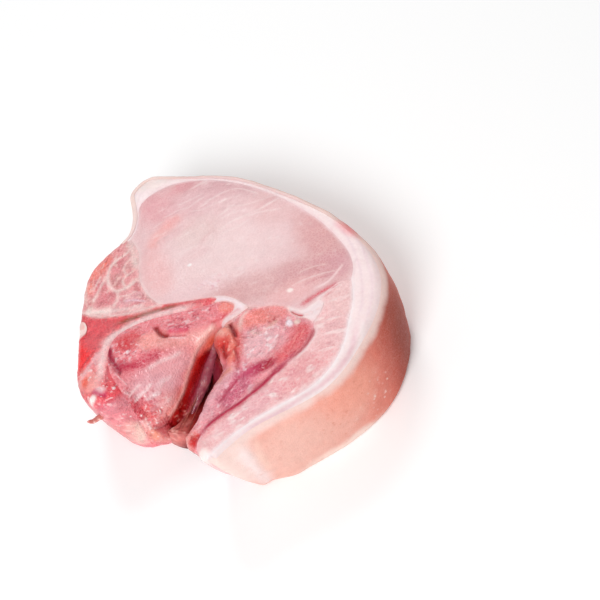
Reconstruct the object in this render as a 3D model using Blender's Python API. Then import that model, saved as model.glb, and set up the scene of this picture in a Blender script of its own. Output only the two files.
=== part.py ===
"""A thick raw pork loin chop, bone in and rind on, lying on one of its two cut faces.

Every tissue is a slice through the whole thickness: its outline on the upper cut face is a loop of
curves that it shares with its neighbours, and its walls follow one common lean and bulge, so that
neighbours stay face to face. Lengths are in millimetres until a mesh is made.
+Z leaves the upper cut face, +Y runs to the back of the animal, -X to the sawn midline.
"""

import bpy
import numpy as np
from mathutils import Vector
from mathutils.geometry import delaunay_2d_cdt

MM = 0.001

# Driving dimensions
THICKNESS = 35.0            # from one cut face to the other
CENTRE = (0.94, 0.34)       # centre of the bounding box in the outline's own numbers
SEAM_GAP = 0.30             # clearance between two tissues
WEB_GAP = 0.60              # clearance round the floor of the belly cavity
CURVE_STEP = 3.0            # spacing of the points along an outline
INNER_STEP = 5.5            # spacing of the points inside a cut face
WEB_STEP = 2.4              # spacing of the points on the floor of the belly cavity

EDGE_ROUND = (1.3, 4.2)     # rounding of the upper cut edge: at the back, and at the belly side
ROUND_FROM, ROUND_TO = 30.0, -22.0      # between these places along Y it grows from one to the other
CROWN_REACH = 3.5           # how far in from a seam a muscle takes to rise to its crown
ROLL_HEIGHT = 0.45          # half the height of the broad rolls of the cut face
ROLL_LENGTH = 9.0           # their length, divided by two pi
SOLE_ROUND = 1.4            # how far the lowest edge is tucked in
SOLE_HEIGHT = 2.4           # height up to which it is tucked in
WALL_BULGE = 1.5            # how far soft walls swell at mid height
WALL_REACH = 7.0            # how deep the swelling and the tuck reach into the meat
CLEFT_REACH = 14.0          # within this of the cavity's narrow end the walls swell less
WALL_LAYERS = (0.0, 0.035, 0.075, 0.3, 0.58, 0.82, 1.0)

# How the walls lean between the upper face and the sole: (place, spread, shift at the sole)
FLAP_LEAN = ((-23.0, -66.0), (15.0, 15.0), (13.0, 9.5))
FILLET_LEAN = ((-34.0, -24.0), (13.0, 12.0), (-1.0, -14.0))
BODY_LEAN = ((-58.0, -24.0), (10.0, 10.0), (6.0, 7.0))
LEANS = (FLAP_LEAN, FILLET_LEAN, BODY_LEAN)

WEB_FLOOR = 7.0             # height of the belly cavity's floor at the fillet
WEB_RISE = 16.0             # how much higher its lining climbs the flank's wall
WEB_SPREAD = 6.5            # how far out from that wall the lining sags to the floor

# Places where three tissues meet, on the upper cut face
BACK_OUT = (-30.5, 43.0)            # rind's end on the midline
BACK_IN = (-25.8, 42.5)             # back fat, eye and chine muscle
SIDE = (48.0, -17.0)                # back fat, eye and flank
CHINE = (-22.0, 5.0)                # eye, chine muscle and bone
SPINE = (-51.8, 15.6)               # chine muscle and bone on the sawn face
CORD_TOP = (-53.1, 11.2)
CORD_FOOT = (-55.3, 2.8)
BODY_FOOT = (-45.5, -25.3)          # bone and fillet on the belly side
TIP_TOP = (-2.4, -0.8)              # end of the bone's side process
TIP_FOOT = (-2.6, -3.8)
CAP_END = (9.0, -12.3)              # fat round the fillet, eye and inner flank
CAP_FILLET = (-2.8, -13.6)
CAP_FLANK = (-2.6, -15.4)
WEDGE_WEST = (22.7, -18.6)          # corners of the fat wedge under the eye
WEDGE_EAST = (34.5, -20.4)
WEDGE_SOUTH = (29.4, -29.6)
FLAP_FAT = (-22.5, -71.5)           # flap's end
FLAP_SEAM = (-25.5, -66.8)
FLAP_INNER = (-27.8, -58.5)
WEB_FILLET = (-35.5, -20.4)
WEB_FLANK = (-15.5, -43.2)

# Curves between those places, each through its own few points
CURVES = {
    "rind": [BACK_OUT, (-26, 46.5), (-23, 52.5), (-21.8, 60), (-21, 66.5), (-17.5, 70.3),
             (-11.5, 72.8), (-4, 69.8), (5, 65.2), (14.5, 60), (24, 52.8), (33, 42.8), (42, 31.2),
             (50, 19), (56.5, 5), (60, -8), (60, -20), (56.8, -30), (51.5, -39), (44.5, -47.5),
             (36, -55.5), (27, -61), (17, -64), (6, -65.8), (-5, -68.2), (-14, -72),
             (-19.5, -74.3), FLAP_FAT],
    "back_end": [BACK_OUT, BACK_IN],
    "fat_eye": [BACK_IN, (-22.8, 47), (-20.3, 53), (-18.5, 58.5), (-13.5, 62.3), (-5.5, 64.2),
                (2, 63), (10, 59.3), (18, 53.8), (26, 46.3), (33.5, 37.2), (40, 27),
                (45.3, 16.5), (49, 5.5), (50.8, -4), (50.3, -11.5), SIDE],
    "fat_flank": [SIDE, (46, -25.5), (41.5, -35), (36, -45.5), (29, -52.8), (20, -57.6),
                  (9, -60.3), (-4, -63.5), (-13.5, -67), FLAP_FAT],
    "eye_flank": [SIDE, (44.5, -16.4), (40, -17.6), WEDGE_EAST],
    "eye_wedge": [WEDGE_EAST, (31, -21.6), (28, -22.4), (25.5, -21.2), WEDGE_WEST],
    "eye_inner": [WEDGE_WEST, (19, -15.9), (14.5, -14.3), CAP_END],
    "eye_cap": [CAP_END, (6.8, -8.3), (4, -4.6), (1, -2.2), TIP_TOP],
    "eye_bone": [TIP_TOP, (-8, 1), (-15, 2.9), CHINE],
    "eye_chine": [CHINE, (-25.3, 11), (-26.8, 18.5), (-25.7, 27), (-24.3, 34), (-24.8, 39),
                  BACK_IN],
    "chine_bone": [CHINE, (-30, 5.4), (-38, 7.2), (-44.5, 9.5), (-49, 12.6), SPINE],
    "chine_out": [SPINE, (-50.3, 20), (-48.5, 25.5), (-46, 30.5), (-42.3, 35.4), (-37.5, 39),
                  BACK_OUT],
    "bone_saw": [SPINE, CORD_TOP],
    "cord_in": [CORD_TOP, (-51.4, 9.6), (-50.9, 6.6), (-52, 3.9), CORD_FOOT],
    "cord_out": [CORD_TOP, (-54.2, 7), CORD_FOOT],
    "bone_out": [CORD_FOOT, (-56.5, -2), (-58, -7.5), (-59.6, -14), (-59.9, -20.5),
                 (-58.3, -25.5), (-55, -28.6), (-50.5, -28.6), BODY_FOOT],
    "bone_tip": [TIP_TOP, (-1.2, -2.3), TIP_FOOT],
    "bone_fillet": [TIP_FOOT, (-9, -3.2), (-18, -1.6), (-27.5, -0.7), (-36, -1.1), (-41.5, -3.3),
                    (-45, -7.8), (-46.6, -13), (-46.8, -19), BODY_FOOT],
    "fillet_cap": [TIP_FOOT, (1.5, -5.2), (4.2, -8), (3.2, -11), (0.5, -12.6), CAP_FILLET],
    "cap_end": [CAP_FILLET, CAP_FLANK],
    "cap_flank": [CAP_END, (5.5, -13.6), (2, -14.8), CAP_FLANK],
    "fillet_web": [CAP_FILLET, (-8, -15.3), (-15, -16), (-22.5, -17.7), (-30, -19.2),
                   WEB_FILLET],
    "fillet_out": [WEB_FILLET, (-41, -22), BODY_FOOT],
    "wedge_inner": [WEDGE_WEST, (22.8, -21.5), (25, -24.7), (27.5, -26.6), WEDGE_SOUTH],
    "wedge_flank": [WEDGE_EAST, (35.3, -22.8), (33.2, -26), WEDGE_SOUTH],
    "flank_seam": [WEDGE_SOUTH, (28, -34.8), (23.5, -39.3), (17, -42.8), (9, -46.8), (2, -50.3),
                   (-5, -53.2), (-12, -55.4), (-18.3, -58.2), (-22.3, -62.2), FLAP_SEAM],
    "outer_tip": [FLAP_FAT, (-25, -69.8), FLAP_SEAM],
    "inner_tip": [FLAP_SEAM, (-28, -63), FLAP_INNER],
    "inner_out": [FLAP_INNER, (-23, -54), (-19.8, -49.8), WEB_FLANK],
    "inner_web": [WEB_FLANK, (-12.2, -39.6), (-9, -36.8), (-6.3, -33), (-6.6, -28.4),
                  (-6.2, -24.5), (-7.2, -20.8), (-6, -17.2), CAP_FLANK],
    "web_out": [WEB_FILLET, (-28, -26.5), (-20, -36), WEB_FLANK],
}

# Each tissue's outline, anticlockwise: the curves that bound it, with - for one run backwards
TISSUES = {
    "fat_cap": "-rind back_end fat_eye fat_flank",
    "loin_eye": "-fat_eye -eye_chine -eye_bone -eye_cap -eye_inner -eye_wedge -eye_flank",
    "chine_muscle": "-chine_out -chine_bone eye_chine -back_end",
    "vertebra": "bone_saw cord_in bone_out -bone_fillet -bone_tip eye_bone chine_bone",
    "spinal_cord": "cord_out -cord_in",
    "fillet": "bone_fillet -fillet_out -fillet_web -fillet_cap",
    "fillet_fat": "bone_tip fillet_cap cap_end -cap_flank eye_cap",
    "flank_inner": "-inner_web -inner_out -inner_tip -flank_seam -wedge_inner eye_inner cap_flank",
    "flank_outer": "-fat_flank eye_flank wedge_flank flank_seam -outer_tip",
    "fat_wedge": "wedge_inner -wedge_flank eye_wedge",
    "cavity_web": "web_out inner_web -cap_end fillet_web",
}
EXPOSED = ("-rind -chine_out bone_saw cord_out bone_out -fillet_out -fillet_web cap_end "
           "-inner_web -inner_out -inner_tip -outer_tip")

# How far each tissue stands above its own seams on the cut face: cut muscle springs up between them
CROWNS = {"loin_eye": 1.0, "chine_muscle": 0.8, "fillet": 0.7, "flank_inner": 0.8,
          "flank_outer": 0.7, "fat_cap": 0.3, "vertebra": -0.3}

# Principled finish of each tissue: colour, roughness
FINISHES = {
    "fat_cap": ((0.86, 0.55, 0.46), 0.42),
    "loin_eye": ((0.80, 0.48, 0.48), 0.40),
    "chine_muscle": ((0.77, 0.34, 0.32), 0.38),
    "vertebra": ((0.74, 0.17, 0.17), 0.45),
    "spinal_cord": ((0.92, 0.74, 0.68), 0.40),
    "fillet": ((0.74, 0.29, 0.31), 0.34),
    "fillet_fat": ((0.87, 0.68, 0.65), 0.42),
    "flank_inner": ((0.73, 0.25, 0.28), 0.34),
    "flank_outer": ((0.83, 0.48, 0.50), 0.38),
    "fat_wedge": ((0.88, 0.69, 0.66), 0.42),
    "cavity_web": ((0.30, 0.04, 0.05), 0.30),
}


def smooth_curve(points, step):
    """Points every step along a centripetal Catmull-Rom curve through points, both ends included."""
    p = np.array(points, float)
    p = np.vstack([2 * p[0] - p[1], p, 2 * p[-1] - p[-2]])
    knots = np.concatenate([[0], np.cumsum(np.sqrt(np.linalg.norm(np.diff(p, axis=0), axis=1)))])
    dense = []
    for i in range(1, len(p) - 2):
        t = np.linspace(knots[i], knots[i + 1], 24, endpoint=False)[:, None]
        k0, k1, k2, k3 = knots[i - 1:i + 3]
        a1 = (k1 - t) / (k1 - k0) * p[i - 1] + (t - k0) / (k1 - k0) * p[i]
        a2 = (k2 - t) / (k2 - k1) * p[i] + (t - k1) / (k2 - k1) * p[i + 1]
        a3 = (k3 - t) / (k3 - k2) * p[i + 1] + (t - k2) / (k3 - k2) * p[i + 2]
        b1 = (k2 - t) / (k2 - k0) * a1 + (t - k0) / (k2 - k0) * a2
        b2 = (k3 - t) / (k3 - k1) * a2 + (t - k1) / (k3 - k1) * a3
        dense.append((k2 - t) / (k2 - k1) * b1 + (t - k1) / (k2 - k1) * b2)
    dense = np.vstack(dense + [p[-2:-1]])
    run = np.concatenate([[0], np.cumsum(np.linalg.norm(np.diff(dense, axis=0), axis=1))])
    at = np.linspace(0, run[-1], max(2, round(run[-1] / step) + 1))
    return np.column_stack([np.interp(at, run, dense[:, i]) for i in range(2)])


def outline(names, step):
    """The closed loop of points that the named curves make, its last point before the first."""
    runs = []
    for name in names.split():
        run = smooth_curve(CURVES[name.lstrip("-")], step)
        runs.append((run[::-1] if name.startswith("-") else run)[:-1])
    return np.vstack(runs)


def inward(loop):
    """Unit vectors into an anticlockwise loop at each of its points, and the stretch at corners."""
    edge = np.roll(loop, -1, axis=0) - loop
    edge /= np.linalg.norm(edge, axis=1)[:, None]
    left = np.column_stack([-edge[:, 1], edge[:, 0]])
    both = left + np.roll(left, 1, axis=0)
    length = np.linalg.norm(both, axis=1)
    return both / length[:, None], np.clip(2 / length, 1, 3)


def inside(loop, points):
    """True for each point that lies inside the loop, by counting crossings."""
    x, y = points[:, 0:1], points[:, 1:2]
    a, b = loop, np.roll(loop, -1, axis=0)
    spans = (a[:, 1] > y) != (b[:, 1] > y)
    rise = np.where(b[:, 1] == a[:, 1], 1, b[:, 1] - a[:, 1])
    crossing = a[:, 0] + (y - a[:, 1]) * (b[:, 0] - a[:, 0]) / rise
    return (spans & (x < crossing)).sum(axis=1) % 2 == 1


def nearest(loop, points):
    """Distance from each point to the loop's own points, and the index of the nearest."""
    away = np.linalg.norm(points[:, None] - loop[None], axis=2)
    index = away.argmin(axis=1)
    return away[np.arange(len(points)), index], index


FINE_EDGE = outline(EXPOSED, 0.5)
FINE_INWARD = inward(FINE_EDGE)[0]


def edge_radius(points):
    """Radius of the upper edge's rounding near each point: sharp at the back, soft at the belly."""
    share = np.clip((points[:, 1] - ROUND_FROM) / (ROUND_TO - ROUND_FROM), 0, 1)
    return EDGE_ROUND[0] + (EDGE_ROUND[1] - EDGE_ROUND[0]) * share


def face_height(points, loop, crown):
    """Height of the cut face: crowned within the tissue, and rounded off at the chop's edge."""
    away, _ = nearest(FINE_EDGE, points)
    radius = edge_radius(points)
    near = np.clip(1 - away / radius, 0, 1)
    seam, _ = nearest(loop, points)
    hollow = crown * np.exp(-seam / CROWN_REACH)
    x, y = points.T / ROLL_LENGTH
    roll = ROLL_HEIGHT * (np.sin(x + 0.6 * y) * np.cos(0.8 * y - 0.3 * x) - 1)
    return THICKNESS + roll - hollow - radius * (1 - np.sqrt(1 - near**2))


def web_height(points, _loop, _crown):
    """Height of the cavity's floor: it hangs from the flank's wall as one bell-shaped slope."""
    away, _ = nearest(smooth_curve(CURVES["inner_web"], 0.5), points)
    return WEB_FLOOR + WEB_RISE * np.exp(-((away / WEB_SPREAD) ** 2))


def leaned(points, height):
    """Points of the straight slice moved to where the soft meat's walls stand at that height."""
    down = np.clip(1 - height / THICKNESS, 0, 1)[:, None]
    away, index = nearest(FINE_EDGE, points)
    hold = np.clip(1 - away / WALL_REACH, 0, 1)[:, None]
    tuck = SOLE_ROUND * np.clip(1 - height / SOLE_HEIGHT, 0, 1)[:, None] ** 2
    open_side = np.clip(np.linalg.norm(points - CAP_FLANK, axis=1) / CLEFT_REACH, 0, 1)[:, None]
    swell = WALL_BULGE * np.sin(np.pi * down) * open_side
    moved = points + FINE_INWARD[index] * hold * (tuck - swell)
    for place, spread, shift in LEANS:
        weight = np.exp(-0.5 * (((points - place) / spread) ** 2).sum(axis=1))[:, None]
        moved = moved + weight * down * np.array(shift)
    return np.column_stack([moved, height])


def face_points(loop, step):
    """Points inside a tissue's cut face: rows along the rounded edge, and a grid elsewhere."""
    rows = []
    coarse = outline(EXPOSED, CURVE_STEP)
    into, stretch = inward(coarse)
    for share in (0.22, 0.6, 1.05):
        rows.append(coarse + into * (stretch * edge_radius(coarse) * share)[:, None])
    low, high = loop.min(axis=0), loop.max(axis=0)
    rows.append(np.mgrid[low[0]:high[0]:step, low[1]:high[1]:step].reshape(2, -1).T)
    kept = np.zeros((0, 2))
    for row, spare in zip(rows, (0.25, 0.6, 1.0, 0.45 * step)):
        row = row[inside(loop, row)]
        row = row[nearest(edge_points(loop), row)[0] > spare] if len(row) else row
        if len(kept) and len(row):
            row = row[nearest(kept, row)[0] > spare * 0.9]
        kept = np.vstack([kept, row])
    return kept


def edge_points(loop):
    """The loop with four points to each of its edges, for measuring distances to its edges."""
    ahead = np.roll(loop, -1, axis=0)
    return np.vstack([loop + (ahead - loop) * share for share in (0, 0.25, 0.5, 0.75)])


def triangulated(loop, extra):
    """Triangles over the loop through the extra points: their points, triangles, loop indices."""
    points = [Vector(p) for p in np.vstack([loop, extra])]
    made = delaunay_2d_cdt(points, [], [list(range(len(loop)))], 1, 1e-6)
    source = {old: new for new, olds in enumerate(made[3]) for old in olds}
    rim = [source[i] for i in range(len(loop))]
    flat = np.array([v[:] for v in made[0]])
    return flat, [tuple(f) for f in made[2]], rim


def tissue(name, curves, surface, gap, step):
    """One tissue as a closed solid: its cut face, walls in layers, and a flat sole."""
    loop = outline(curves, CURVE_STEP)
    into, stretch = inward(loop)
    loop = loop + into * (stretch * gap / 2)[:, None]
    edges = edge_points(loop)
    crown = CROWNS.get(name, 0.0)
    top, top_faces, top_rim = triangulated(loop, face_points(loop, step))
    sole, sole_faces, sole_rim = triangulated(loop, np.zeros((0, 2)))
    blocks = [leaned(top, surface(top, edges, crown)), leaned(sole, np.zeros(len(sole)))]
    crest = surface(loop, edges, crown)
    for share in WALL_LAYERS[1:-1]:
        blocks.append(leaned(loop, crest * share))
    starts = np.cumsum([0] + [len(block) for block in blocks])
    count = len(loop)
    rings = [[starts[1] + i for i in sole_rim]]
    rings += [list(range(start, start + count)) for start in starts[2:-1]]
    rings.append(top_rim)
    faces = list(top_faces)
    faces += [tuple(starts[1] + i for i in reversed(face)) for face in sole_faces]
    for lower, upper in zip(rings, rings[1:]):
        for i in range(count):
            j = (i + 1) % count
            faces.append((lower[i], lower[j], upper[j], upper[i]))
    return add_object(name, np.vstack(blocks), faces)


def add_object(name, points, faces):
    """A smooth-shaded mesh object from points in millimetres, with its own material."""
    mesh = bpy.data.meshes.new(name)
    centred = points - np.array([*CENTRE, 0.0])
    mesh.from_pydata((centred * MM).tolist(), [], faces)
    mesh.validate()
    mesh.shade_smooth()
    mesh.set_sharp_from_angle(angle=0.9)
    colour, roughness = FINISHES[name]
    material = bpy.data.materials.new(name)
    material.use_nodes = True
    shader = material.node_tree.nodes["Principled BSDF"]
    shader.inputs["Base Color"].default_value = (*colour, 1.0)
    shader.inputs["Roughness"].default_value = roughness
    shader.inputs["Metallic"].default_value = 0.0
    mesh.materials.append(material)
    made = bpy.data.objects.new(name, mesh)
    bpy.context.scene.collection.objects.link(made)
    return made


def main():
    for old in list(bpy.data.objects):
        bpy.data.objects.remove(old)
    for name, curves in TISSUES.items():
        if name == "cavity_web":
            tissue(name, curves, web_height, WEB_GAP, WEB_STEP)
        else:
            tissue(name, curves, face_height, SEAM_GAP, INNER_STEP)


main()
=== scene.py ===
"""A thick raw pork loin chop, bone in and rind on, laid on one cut face and dressed over its solids.

Places on the chop are chart millimetres: x towards the rind's round side, y towards the back of the
animal, z up from the lower cut face. Every tissue is a slice through the whole thickness between
two rails, which are joined from curves that it shares with its neighbours.
"""

import logging
from dataclasses import dataclass, field
from enum import Enum

import bpy
import numpy as np
from mathutils import Matrix, Vector


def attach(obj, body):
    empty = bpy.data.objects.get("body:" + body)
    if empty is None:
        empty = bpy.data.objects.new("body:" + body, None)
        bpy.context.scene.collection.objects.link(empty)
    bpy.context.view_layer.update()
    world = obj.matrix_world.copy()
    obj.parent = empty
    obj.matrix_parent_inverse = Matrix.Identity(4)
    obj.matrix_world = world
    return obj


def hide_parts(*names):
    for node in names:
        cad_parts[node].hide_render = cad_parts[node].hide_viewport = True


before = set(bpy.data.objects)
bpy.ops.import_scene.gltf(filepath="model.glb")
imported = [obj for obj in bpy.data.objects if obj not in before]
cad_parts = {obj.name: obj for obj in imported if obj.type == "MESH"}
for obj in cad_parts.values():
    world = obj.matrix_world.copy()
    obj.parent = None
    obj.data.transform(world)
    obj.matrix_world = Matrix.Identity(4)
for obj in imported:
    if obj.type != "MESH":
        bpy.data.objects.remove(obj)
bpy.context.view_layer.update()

Array = np.ndarray
Spot = tuple[float, float]
Place = tuple[float, float, float]

MM = 0.001
THICKNESS = 35.0
CENTRE = (0.94, 0.34)
EDGE_ROUND = (1.3, 4.2)
ROUND_FROM, ROUND_TO = 30.0, -22.0
CROWN_REACH = 3.5
ROLL_HEIGHT, ROLL_LENGTH = 0.45, 9.0
SOLE_ROUND, SOLE_HEIGHT = 1.4, 2.4
WALL_BULGE, WALL_REACH, CLEFT_REACH = 1.5, 7.0, 14.0
LEANS = (
    ((-23.0, -66.0), (15.0, 15.0), (13.0, 9.5)),
    ((-34.0, -24.0), (13.0, 12.0), (-1.0, -14.0)),
    ((-58.0, -24.0), (10.0, 10.0), (6.0, 7.0)),
    ((47.0, -47.0), (16.0, 14.0), (2.8, -3.0)),
    ((60.0, -20.0), (9.0, 15.0), (2.2, -1.0)),
    ((-3.0, -67.0), (10.0, 7.0), (0.4, -3.0)),
    ((-19.0, -74.0), (4.5, 4.5), (1.2, 1.0)),
    ((-29.0, -36.0), (4.5, 4.0), (0.6, 3.0)),
)
WEB_FLOOR, WEB_RISE, WEB_SPREAD = 7.0, 16.0, 6.5
RIND_THICKNESS = 1.8
FILM_SHINE = 0.03
CREASE, HIGHEST = -0.4, THICKNESS + 1.0

BACK_OUT, BACK_IN, SIDE = (-30.5, 43.0), (-25.8, 42.5), (48.0, -17.0)
CHINE, SPINE = (-22.0, 5.0), (-51.8, 15.6)
CORD_TOP, CORD_FOOT, BODY_FOOT = (-53.1, 11.2), (-55.3, 2.8), (-45.5, -25.3)
TIP_TOP, TIP_FOOT = (-2.4, -0.8), (-2.6, -3.8)
CAP_END, CAP_FILLET, CAP_FLANK = (9.0, -12.3), (-2.8, -13.6), (-2.6, -15.4)
WEDGE_WEST, WEDGE_EAST, WEDGE_SOUTH = (22.7, -18.6), (34.5, -20.4), (29.4, -29.6)
FLAP_FAT, FLAP_SEAM, FLAP_INNER = (-22.5, -71.5), (-25.5, -66.8), (-27.8, -58.5)
WEB_FILLET, WEB_FLANK = (-35.5, -20.4), (-15.5, -43.2)

CURVES: dict[str, list[Spot]] = {
    "rind": [BACK_OUT, (-26, 46.5), (-23, 52.5), (-21.8, 60), (-21, 66.5), (-17.5, 70.3),
             (-11.5, 72.8), (-4, 69.8), (5, 65.2), (14.5, 60), (24, 52.8), (33, 42.8), (42, 31.2),
             (50, 19), (56.5, 5), (60, -8), (60, -20), (56.8, -30), (51.5, -39), (44.5, -47.5),
             (36, -55.5), (27, -61), (17, -64), (6, -65.8), (-5, -68.2), (-14, -72),
             (-19.5, -74.3), FLAP_FAT],
    "back_end": [BACK_OUT, BACK_IN],
    "fat_eye": [BACK_IN, (-22.8, 47), (-20.3, 53), (-18.5, 58.5), (-13.5, 62.3), (-5.5, 64.2),
                (2, 63), (10, 59.3), (18, 53.8), (26, 46.3), (33.5, 37.2), (40, 27),
                (45.3, 16.5), (49, 5.5), (50.8, -4), (50.3, -11.5), SIDE],
    "fat_flank": [SIDE, (46, -25.5), (41.5, -35), (36, -45.5), (29, -52.8), (20, -57.6),
                  (9, -60.3), (-4, -63.5), (-13.5, -67), FLAP_FAT],
    "eye_flank": [SIDE, (44.5, -16.4), (40, -17.6), WEDGE_EAST],
    "eye_wedge": [WEDGE_EAST, (31, -21.6), (28, -22.4), (25.5, -21.2), WEDGE_WEST],
    "eye_inner": [WEDGE_WEST, (19, -15.9), (14.5, -14.3), CAP_END],
    "eye_cap": [CAP_END, (6.8, -8.3), (4, -4.6), (1, -2.2), TIP_TOP],
    "eye_bone": [TIP_TOP, (-8, 1), (-15, 2.9), CHINE],
    "eye_chine": [CHINE, (-25.3, 11), (-26.8, 18.5), (-25.7, 27), (-24.3, 34), (-24.8, 39),
                  BACK_IN],
    "chine_bone": [CHINE, (-30, 5.4), (-38, 7.2), (-44.5, 9.5), (-49, 12.6), SPINE],
    "chine_out": [SPINE, (-50.3, 20), (-48.5, 25.5), (-46, 30.5), (-42.3, 35.4), (-37.5, 39),
                  BACK_OUT],
    "bone_saw": [SPINE, CORD_TOP],
    "cord_in": [CORD_TOP, (-51.4, 9.6), (-50.9, 6.6), (-52, 3.9), CORD_FOOT],
    "cord_out": [CORD_TOP, (-54.2, 7), CORD_FOOT],
    "bone_out": [CORD_FOOT, (-56.5, -2), (-58, -7.5), (-59.6, -14), (-59.9, -20.5),
                 (-58.3, -25.5), (-55, -28.6), (-50.5, -28.6), BODY_FOOT],
    "bone_tip": [TIP_TOP, (-1.2, -2.3), TIP_FOOT],
    "bone_fillet": [TIP_FOOT, (-9, -3.2), (-18, -1.6), (-27.5, -0.7), (-36, -1.1), (-41.5, -3.3),
                    (-45, -7.8), (-46.6, -13), (-46.8, -19), BODY_FOOT],
    "fillet_cap": [TIP_FOOT, (1.5, -5.2), (4.2, -8), (3.2, -11), (0.5, -12.6), CAP_FILLET],
    "cap_end": [CAP_FILLET, CAP_FLANK],
    "cap_flank": [CAP_END, (5.5, -13.6), (2, -14.8), CAP_FLANK],
    "fillet_web": [CAP_FILLET, (-8, -15.3), (-15, -16), (-22.5, -17.7), (-30, -19.2),
                   WEB_FILLET],
    "fillet_out": [WEB_FILLET, (-41, -22), BODY_FOOT],
    "wedge_inner": [WEDGE_WEST, (22.8, -21.5), (25, -24.7), (27.5, -26.6), WEDGE_SOUTH],
    "wedge_flank": [WEDGE_EAST, (35.3, -22.8), (33.2, -26), WEDGE_SOUTH],
    "flank_seam": [WEDGE_SOUTH, (28, -34.8), (23.5, -39.3), (17, -42.8), (9, -46.8), (2, -50.3),
                   (-5, -53.2), (-12, -55.4), (-18.3, -58.2), (-22.3, -62.2), FLAP_SEAM],
    "outer_tip": [FLAP_FAT, (-25, -69.8), FLAP_SEAM],
    "inner_tip": [FLAP_SEAM, (-28, -63), FLAP_INNER],
    "inner_out": [FLAP_INNER, (-23, -54), (-19.8, -49.8), WEB_FLANK],
    "inner_web": [WEB_FLANK, (-12.2, -39.6), (-9, -36.8), (-6.3, -33), (-6.6, -28.4),
                  (-6.2, -24.5), (-7.2, -20.8), (-6, -17.2), CAP_FLANK],
    "web_out": [WEB_FILLET, (-28, -26.5), (-20, -36), WEB_FLANK],
}
EXPOSED = ("-rind -chine_out bone_saw cord_out bone_out -fillet_out -fillet_web cap_end "
           "-inner_web -inner_out -inner_tip -outer_tip")


# ---------------------------------------------------------------- curves and noise


def dense_curve(points: list[Spot] | tuple[Place, ...]) -> Array:
    """A centripetal Catmull-Rom curve: each span blends its four nearest points by barycentric
    lerps over knots that are spaced by the square root of the chord.

    Args:
        points: The points that the curve passes through, two or three numbers each.

    Returns:
        Close points along it, one row each.
    """
    p = np.array(points, float)
    p = np.vstack([2 * p[0] - p[1], p, 2 * p[-1] - p[-2]])
    knots = np.concatenate([[0], np.cumsum(np.sqrt(np.linalg.norm(np.diff(p, axis=0), axis=1)))])
    spans = []
    for i in range(1, len(p) - 2):
        t = np.linspace(knots[i], knots[i + 1], 24, endpoint=False)[:, None]
        k = knots[i - 1:i + 3]
        rows = p[i - 1:i + 3]
        low = [(k[j + 1] - t) / (k[j + 1] - k[j]) * rows[j]
               + (t - k[j]) / (k[j + 1] - k[j]) * rows[j + 1] for j in range(3)]
        mid = [(k[j + 2] - t) / (k[j + 2] - k[j]) * low[j]
               + (t - k[j]) / (k[j + 2] - k[j]) * low[j + 1] for j in range(2)]
        spans.append((k[2] - t) / (k[2] - k[1]) * mid[0] + (t - k[1]) / (k[2] - k[1]) * mid[1])
    return np.vstack(spans + [p[-2:-1]])


def spaced(line: Array, count: int, start: float = 0.0, end: float = 0.0) -> Array:
    """Points at equal distances along a line, leaving out a stretch at either end.

    Args:
        line: The line's own close points.
        count: How many points to return.
        start: The stretch left out before the first, in millimetres.
        end: The stretch left out after the last.

    Returns:
        The points, one row each.
    """
    run = np.concatenate([[0], np.cumsum(np.linalg.norm(np.diff(line, axis=0), axis=1))])
    at = np.linspace(min(start, run[-1] / 2), max(run[-1] - end, run[-1] / 2), count)
    return np.column_stack([np.interp(at, run, line[:, i]) for i in range(line.shape[1])])


def joined(names: str) -> Array:
    """The named curves end to end, each with - before its name run backwards."""
    runs = []
    for name in names.split():
        run = dense_curve(CURVES[name.lstrip("-")])
        runs.append(run[::-1] if name.startswith("-") else run)
    return np.vstack([runs[0]] + [run[1:] for run in runs[1:]])


def length_of(line: Array) -> float:
    """The length of a line of points."""
    return float(np.linalg.norm(np.diff(line, axis=0), axis=1).sum())


def left_of(line: Array) -> Array:
    """Unit vectors to the left of an open line of points in the chart, one at each point."""
    along = np.gradient(line, axis=0)
    left = np.column_stack([-along[:, 1], along[:, 0]])
    return left / np.maximum(np.linalg.norm(left, axis=1), 1e-9)[:, None]


def nearest(line: Array, points: Array) -> tuple[Array, Array]:
    """How far points are from a line: from its nearest point, the foot of the perpendicular on
    each of the two segments that meet there, and the nearer foot.

    Args:
        line: The line's own points, two or three numbers each.
        points: The points to measure from.

    Returns:
        The distance of each point, and the place of its foot along the line, counted in points.
    """
    away, foot = np.full(len(points), np.inf), np.zeros(len(points))
    index = np.empty(len(points), int)
    square = (line**2).sum(axis=1)
    for first in range(0, len(points), 8000):
        block = points[first:first + 8000]
        index[first:first + 8000] = (square - 2 * block @ line.T).argmin(axis=1)
    for step in (-1, 0):
        start = np.clip(index + step, 0, len(line) - 2)
        edge = line[start + 1] - line[start]
        size = np.maximum((edge**2).sum(axis=1), 1e-12)
        share = np.clip(((points - line[start]) * edge).sum(axis=1) / size, 0, 1)
        gap = np.linalg.norm(points - line[start] - edge * share[:, None], axis=1)
        closer = gap < away
        away[closer], foot[closer] = gap[closer], (start + share)[closer]
    return away, foot


def ease(value: Array) -> Array:
    """The smooth step 3t^2 - 2t^3 of values held between 0 and 1."""
    t = np.clip(value, 0, 1)
    return t * t * (3 - 2 * t)


LATTICE = np.random.default_rng(7).uniform(-1, 1, 8192)


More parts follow.
